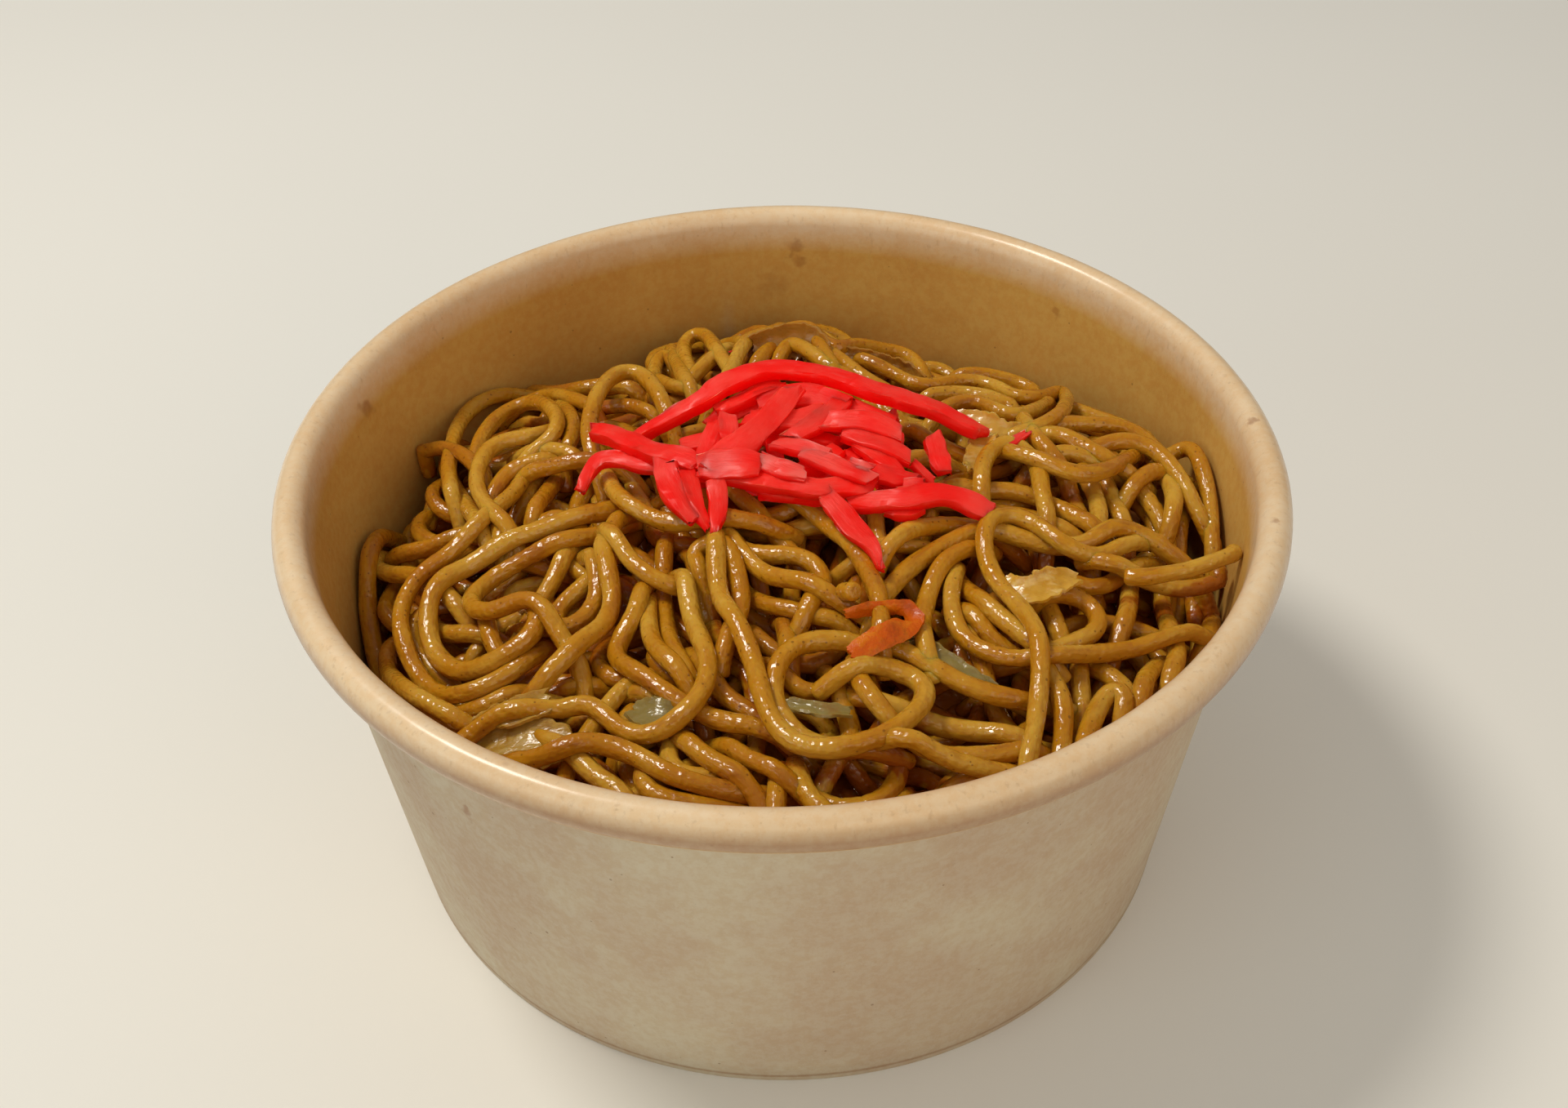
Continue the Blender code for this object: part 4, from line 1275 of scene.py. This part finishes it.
def gingerStrip(rng, route, width, thickness, lean, pale):
    # one strip's sizes, lean and paleness along its route, all a little uneven
    count = len(route)
    t = np.linspace(0, 1, count)
    fromEnd = np.minimum(t, 1 - t) * (count - 1) * gingerShape["spacing"]
    tip = np.clip(fromEnd / (1.5 * mm), 0, 1)
    broad = 1 + 0.05 * np.sin(t * rng.uniform(9, 16) + rng.uniform(0, 6))
    thick = 1 + 0.08 * np.sin(t * 7 + rng.uniform(0, 6))
    sway = 9 * np.sin(t * rng.uniform(2, 5) + rng.uniform(0, 6))
    patches = 0.75 + 0.25 * np.sin(t * rng.uniform(3, 9) + rng.uniform(0, 6))
    faded = 0.35 * (1 - tip) * rng.uniform(0, 1)
    return {
        "route": route,
        "widths": width * (0.86 + 0.14 * tip) * broad,
        "thicknesses": thickness * (0.7 + 0.3 * tip) * thick,
        "leans": np.radians(lean + sway),
        "pales": pale * patches + faded,
    }


def buildGinger(pile, rng, ginger):
    look = gingerShape
    top = gingerBox[1][2]
    strips = []
    for _ in range(look["fillers"]):
        # short lengths that fill the heap out underneath
        heading, turn = rng.uniform(0, math.tau), rng.uniform(-0.3, 0.3)
        middle = np.array([rng.uniform(-12, 17), rng.uniform(2, 15)])
        steps = np.linspace(-6, 6, 4)
        toward = [np.array([math.cos(heading + turn * step / 6), math.sin(heading)]) for step in steps]
        knots = [tuple(middle + step * way) for step, way in zip(steps, toward)]
        route = smoothRoute(knots, look["spacing"], 2)
        width, thickness = rng.uniform(2.4, 3.4) * mm, rng.uniform(1.4, 1.9) * mm
        route[:, 2] = pile.rest(route, 0.0, width * 0.4, thickness / 2, **look["fillerRest"])
        if route[:, 2].max() < top - look["fillerDepth"]:
            pile.cover(route, width * 0.45, thickness / 2)
            widths = np.full(len(route), width)
            strips.append(gingerStrip(rng, route, widths, thickness, rng.uniform(-20, 20), 0.0))
    for thickness, lean, pale, knots in gingerStrips:
        route = smoothRoute(knots, look["spacing"], 2)
        width = route[:, 3]
        route = route[:, :3].copy()
        route[:, 2] = top - route[:, 2]
        pile.cover(route, 1.2 * mm, thickness * mm / 2)
        strips.append(gingerStrip(rng, route, width, thickness * mm, lean, pale))
    piece = meshObject("ginger_strips", stripMesh("ginger_strips", strips, look, rng), [ginger], 60)
    handOver(piece, "red_ginger", "pickled_ginger")
    print("ginger laid:", len(strips), "strips")
    return piece


# sheets: x and y in mm from the bowl's axis, mm over the heap's mean surface, width in mm, lean in degrees
sheets = {
    "cabbage_back": {
        "thickness": 0.5, "cup": 0.12, "ruffle": 0.5, "tint": 0.1,
        "parts": [
            [
                (28.2, 16.9, 2, 3.4, 10), (30.7, 16, 2.2, 4.2, 25), (33.2, 14.8, 2.2, 4, 40),
                (35.8, 14.4, 2, 3, 30), (39.1, 16.1, 1.8, 1.4, 20),
            ],
            [
                (32.4, 14, 1.6, 4, 0), (31.3, 10.2, 1.2, 3.6, 0), (30, 7.4, 0.6, 3.2, 0),
                (29.3, 5.3, 0.2, 2.2, 0),
            ],
            [
                (-4.4, 45.6, 1.4, 4.6, 60), (-1, 46, 1.8, 6, 60), (2.8, 46, 2, 6.4, 60),
                (6, 45, 1.8, 6, 60), (8.4, 42, 1.4, 4, 55),
            ],
            [
                (10.5, 44, 0.6, 2.6, 60), (14.6, 44.5, 1, 3.4, 60), (19, 45, 1.2, 3.6, 60),
                (22.6, 44, 1, 3.4, 60), (25, 41, 0.8, 2, 60),
            ],
        ],
    },
    "cabbage_right": {
        "thickness": 0.5, "cup": 0.14, "ruffle": 0.5, "tint": 0.0,
        "parts": [
            [
                (31.7, -19.9, 0.2, 2.8, 20), (33.6, -22, 0.8, 3.6, 30), (36.1, -22.5, 1.4, 4.2, 25),
                (38.6, -21.2, 1.8, 4.4, 20), (40.9, -20, 1.6, 3.4, 10), (42.7, -19.5, 1.2, 1.6, 0),
            ],
        ],
    },
    "cabbage_left": {
        "thickness": 0.5, "cup": 0.1, "ruffle": 0.3, "tint": 0.45,
        "parts": [
            [
                (-43.8, -37.9, 0, 1.6, 20), (-41.2, -37.9, 0.4, 3, 25), (-38.2, -38, 0.6, 3.8, 25),
                (-35.3, -37.4, 0.6, 4, 20), (-32.9, -36.8, 0.4, 3.4, 20),
            ],
            [
                (-43.5, -40.5, -1.6, 5, 12), (-40, -41.4, -1.4, 7, 12), (-36.5, -42.2, -1.2, 8, 12),
                (-33, -42.6, -1.2, 7.4, 12), (-29.8, -42.8, -1.6, 5, 12),
            ],
        ],
    },
    "cabbage_front": {
        "thickness": 0.5, "cup": 0.16, "ruffle": 0.5, "tint": 1.0,
        "parts": [
            [
                (-21, -38.2, -2, 3, 10), (-19.1, -39.7, -1.4, 4.6, 15), (-16.8, -40.6, -1.2, 4.6, 15),
                (-13.9, -40, -1.8, 2.6, 20),
            ],
            [(-0.2, -40.5, -1, 1.8, 10), (4.3, -42, -0.6, 2.2, 10), (8.7, -42.3, -1, 1.8, 0)],
            [
                (18.1, -30.2, -0.8, 1.2, 10), (20.5, -32.2, -0.6, 1.9, 10), (23.6, -34.8, -0.6, 2, 10),
                (26.5, -36.4, -1, 1.6, 10), (29, -37.2, -1.8, 1, 10),
            ],
        ],
    },
    "carrot_strip": {
        "thickness": 0.9, "cup": -0.1, "ruffle": 0.15, "tint": 0.0,
        "parts": [
            [
                (8.6, -26.9, 0.6, 1.4, 65), (10.4, -27.1, 1.2, 2, 70), (12.6, -27.1, 1.6, 2.2, 72),
                (15, -27.3, 2, 2.3, 72), (16.8, -27.5, 2.3, 2.5, 66), (18, -28.8, 2.2, 2.8, 40),
                (17.9, -30.2, 2.5, 3.2, 5), (16.6, -31.6, 3, 3.7, -22), (14.7, -33, 3.4, 3.7, -30),
                (12.7, -34.2, 3.4, 3.5, -30), (10.8, -35.3, 3.2, 3.3, -26), (9.2, -36.3, 3, 2.8, -20),
            ],
        ],
    },
}


def sheetBody(body, knots, thickness, cup, ruffle, rng):
    # one thin sheet along its places, with a ragged outline
    route = smoothRoute(knots, 0.5 * mm, 2)
    height = heapTop(route[:, 0], route[:, 1]) + route[:, 2]
    widths, leans = route[:, 3], np.radians(route[:, 4] / mm)
    route = np.column_stack([route[:, :2], height])
    along = np.gradient(route, axis=0)
    along /= np.linalg.norm(along, axis=1)[:, None]
    level = np.cross((0.0, 0.0, 1.0), along)
    level /= np.linalg.norm(level, axis=1)[:, None]
    upright = np.cross(along, level)
    cos, sin = np.cos(leans)[:, None], np.sin(leans)[:, None]
    across, up = level * cos + upright * sin, upright * cos - level * sin
    last = len(route) - 1
    made = bmesh.ops.create_grid(body, x_segments=last, y_segments=12, size=1.0)
    shift = rng.uniform(0, 50)
    for vertex in made["verts"]:
        share, v = (vertex.co.x + 1) / 2 * last, vertex.co.y
        i = int(round(share))
        seed = Vector((i * 0.35 + shift, v * 1.2, 0.0))
        ragged = 1 + 0.22 * noise.noise(Vector((i * 0.5 + shift, 7.0 * (v > 0), 3.0))) * abs(v)
        rise = cup * widths[i] * v * v + ruffle * mm * noise.noise(seed) * (0.4 + 0.6 * abs(v))
        spot = route[i] + across[i] * (v * ragged * widths[i] / 2) + up[i] * rise
        if i in (0, last):
            spot = spot + along[i] * noise.noise(Vector((v * 2.5, shift, 9.0))) * 1.1 * mm
        vertex.co = spot
    faces = list({face for vertex in made["verts"] for face in vertex.link_faces})
    bmesh.ops.recalc_face_normals(body, faces=faces)
    bmesh.ops.solidify(body, geom=faces, thickness=thickness * mm)


def buildSheet(rng, node, slot, material):
    look = sheets[node]
    body = bmesh.new()
    for knots in look["parts"]:
        part = bmesh.new()
        sheetBody(part, knots, look["thickness"], look["cup"], look["ruffle"], rng)
        bmesh.ops.recalc_face_normals(part, faces=part.faces)
        holder = bpy.data.meshes.new("part")
        part.to_mesh(holder)
        part.free()
        body.from_mesh(holder)
        bpy.data.meshes.remove(holder)
    piece = bmeshObject(node + "_piece", body, [material], 60)
    setAttribute(piece.data, "tint", np.full(len(piece.data.vertices), look["tint"]))
    handOver(piece, slot, node)
    return piece


viewLook = {
    "distance": 334.9 * mm,
    "target": (0.2 * mm, 42.4 * mm, 12.5 * mm),
    "elevation": 40.0,
    "roll": -1.11,
    "lens": 40.94,
}


def placeCamera():
    look = viewLook
    data = bpy.data.cameras.new("camera")
    data.lens = look["lens"]
    data.sensor_width = 36.0
    data.clip_start = 0.01
    camera = bpy.data.objects.new("camera", data)
    bpy.context.scene.collection.objects.link(camera)
    tilt = Matrix.Rotation(math.radians(90 - look["elevation"]), 4, "X")
    roll = Matrix.Rotation(math.radians(look["roll"]), 4, "Z")
    back = Vector((0, -math.cos(math.radians(look["elevation"])), math.sin(math.radians(look["elevation"]))))
    camera.matrix_world = Matrix.Translation(Vector(look["target"]) + back * look["distance"]) @ tilt @ roll
    bpy.context.scene.camera = camera


lights = {
    # name: (place, size, power in watts, colour)
    "key": ((-0.42, 0.14, 0.85), 0.24, 4.2, (1.0, 0.95, 0.87)),
    "fill": ((0.45, -0.8, 0.5), 0.9, 2.2, (1.0, 0.8, 0.58)),
    "left": ((-0.8, -0.6, 0.4), 0.7, 1.35, (0.82, 0.97, 1.0)),
}


def placeLights():
    for name, (place, size, power, colour) in lights.items():
        data = bpy.data.lights.new(name, "AREA")
        data.shape = "DISK"
        data.size = size
        data.energy = power
        data.color = colour
        lamp = bpy.data.objects.new(name, data)
        lamp.location = place
        lamp.rotation_euler = (Vector((0, 0, 0.04)) - Vector(place)).to_track_quat("-Z", "Y").to_euler()
        bpy.context.scene.collection.objects.link(lamp)
    world = bpy.data.worlds.new("studio")
    world.use_nodes = True
    background = world.node_tree.nodes["Background"]
    background.inputs["Color"].default_value = (1.0, 0.98, 0.95, 1.0)
    wire = Wire(world.node_tree)
    glossy = wire.node("LightPath", output="Is Glossy Ray")
    wire.tree.links.new((0.39 - glossy * 0.29).socket, background.inputs["Strength"])
    bpy.context.scene.world = world
    bpy.context.scene.view_settings.view_transform = "Standard"


def placeFloor():
    body = bmesh.new()
    bmesh.ops.create_grid(body, x_segments=1, y_segments=1, size=6.0)
    made, shader, wire = newMaterial("paleFloor", {"Specular IOR Level": 0.3})
    tone = wire.grain(wire.place(), 6.0, 2.0)
    colour = wire.mix(tone, rgb(240, 238, 230), rgb(234, 232, 224))
    feed(shader, Base_Color=colour, Roughness=0.6 + tone * 0.1)
    floor = bmeshObject("floor", body, [made])


drawSeed = 41  # one run of draws lays every strand, sheet and strip, in that order


def main():
    rng = np.random.default_rng(drawSeed)
    shape = noodleShape
    placeCamera()
    placeLights()
    placeFloor()
    buildBowl(kraftMaterial())
    noodle = noodleMaterial()
    buildCore(noodle)
    pile = Pile(heapLook["startDepth"])
    cabbage = cabbageMaterial()
    hidden = hiddenStrands(pile, rng)
    print("hidden strands laid:", len(hidden))
    shown = shownStrands(pile, rng, leftStrands, shape["leftRadius"])
    shown += shownStrands(pile, rng, centreStrands, shape["centreRadius"])
    shown += shownStrands(pile, rng, rightStrands, shape["rightRadius"])
    room = shape["backRoom"] * smooth((pile.y - 12 * mm) / (10 * mm))
    target = heapTop(pile.x, pile.y) + shape["settleLift"] - room
    sunk = pile.settle(shape["settleReach"], shape["settleBridge"], target)
    for route, radius in hidden + shown:
        route[:, 2] -= pile.at(sunk, route)
    shown += standingStrands(pile, rng, backStrands, shape["backRadius"])
    shown += standingStrands(pile, rng, looseStrands, shape["looseRadius"], False)
    print("shown strands laid:", len(shown))
    for route, radius in hidden + shown:
        limit = wallInside(route[:, 2]) - radius - shape["wallGap"]
        route[:, :2] *= np.minimum(1.0, limit / np.hypot(route[:, 0], route[:, 1]))[:, None]
    half = len(shown) // 2
    pieces = [
        noodlePiece("noodles_lowest", hidden[: len(hidden) // 2], shape["hiddenSides"], rng, noodle),
        noodlePiece("noodles_lower", hidden[len(hidden) // 2 :], shape["hiddenSides"], rng, noodle),
        noodlePiece("noodles_left", shown[:half], shape["shownSides"], rng, noodle),
        noodlePiece("noodles_right", shown[half:], shape["shownSides"], rng, noodle),
    ]
    for node in ("cabbage_back", "cabbage_right", "cabbage_left", "cabbage_front"):
        pieces.append(buildSheet(rng, node, "cabbage", cabbage))
    pieces.append(buildSheet(rng, "carrot_strip", "carrot", carrotMaterial()))
    print("cabbage and carrot laid")
    # painted shade under the top of the pile
    for piece in pieces:
        sauceDepth(piece, pile, shape["shadeReach"])
    ginger = buildGinger(pile, rng, gingerMaterial())
    sauceDepth(ginger, pile, gingerShape["shadeReach"])
    for piece in bpy.data.objects:
        if piece.type == "MESH" and not piece.hide_render:
            print(piece.name, sum(len(face.vertices) - 2 for face in piece.data.polygons), "triangles,",
                  "top at", round(float(vertexArray(piece.data)[:, 2].max()) / mm, 1))


main()
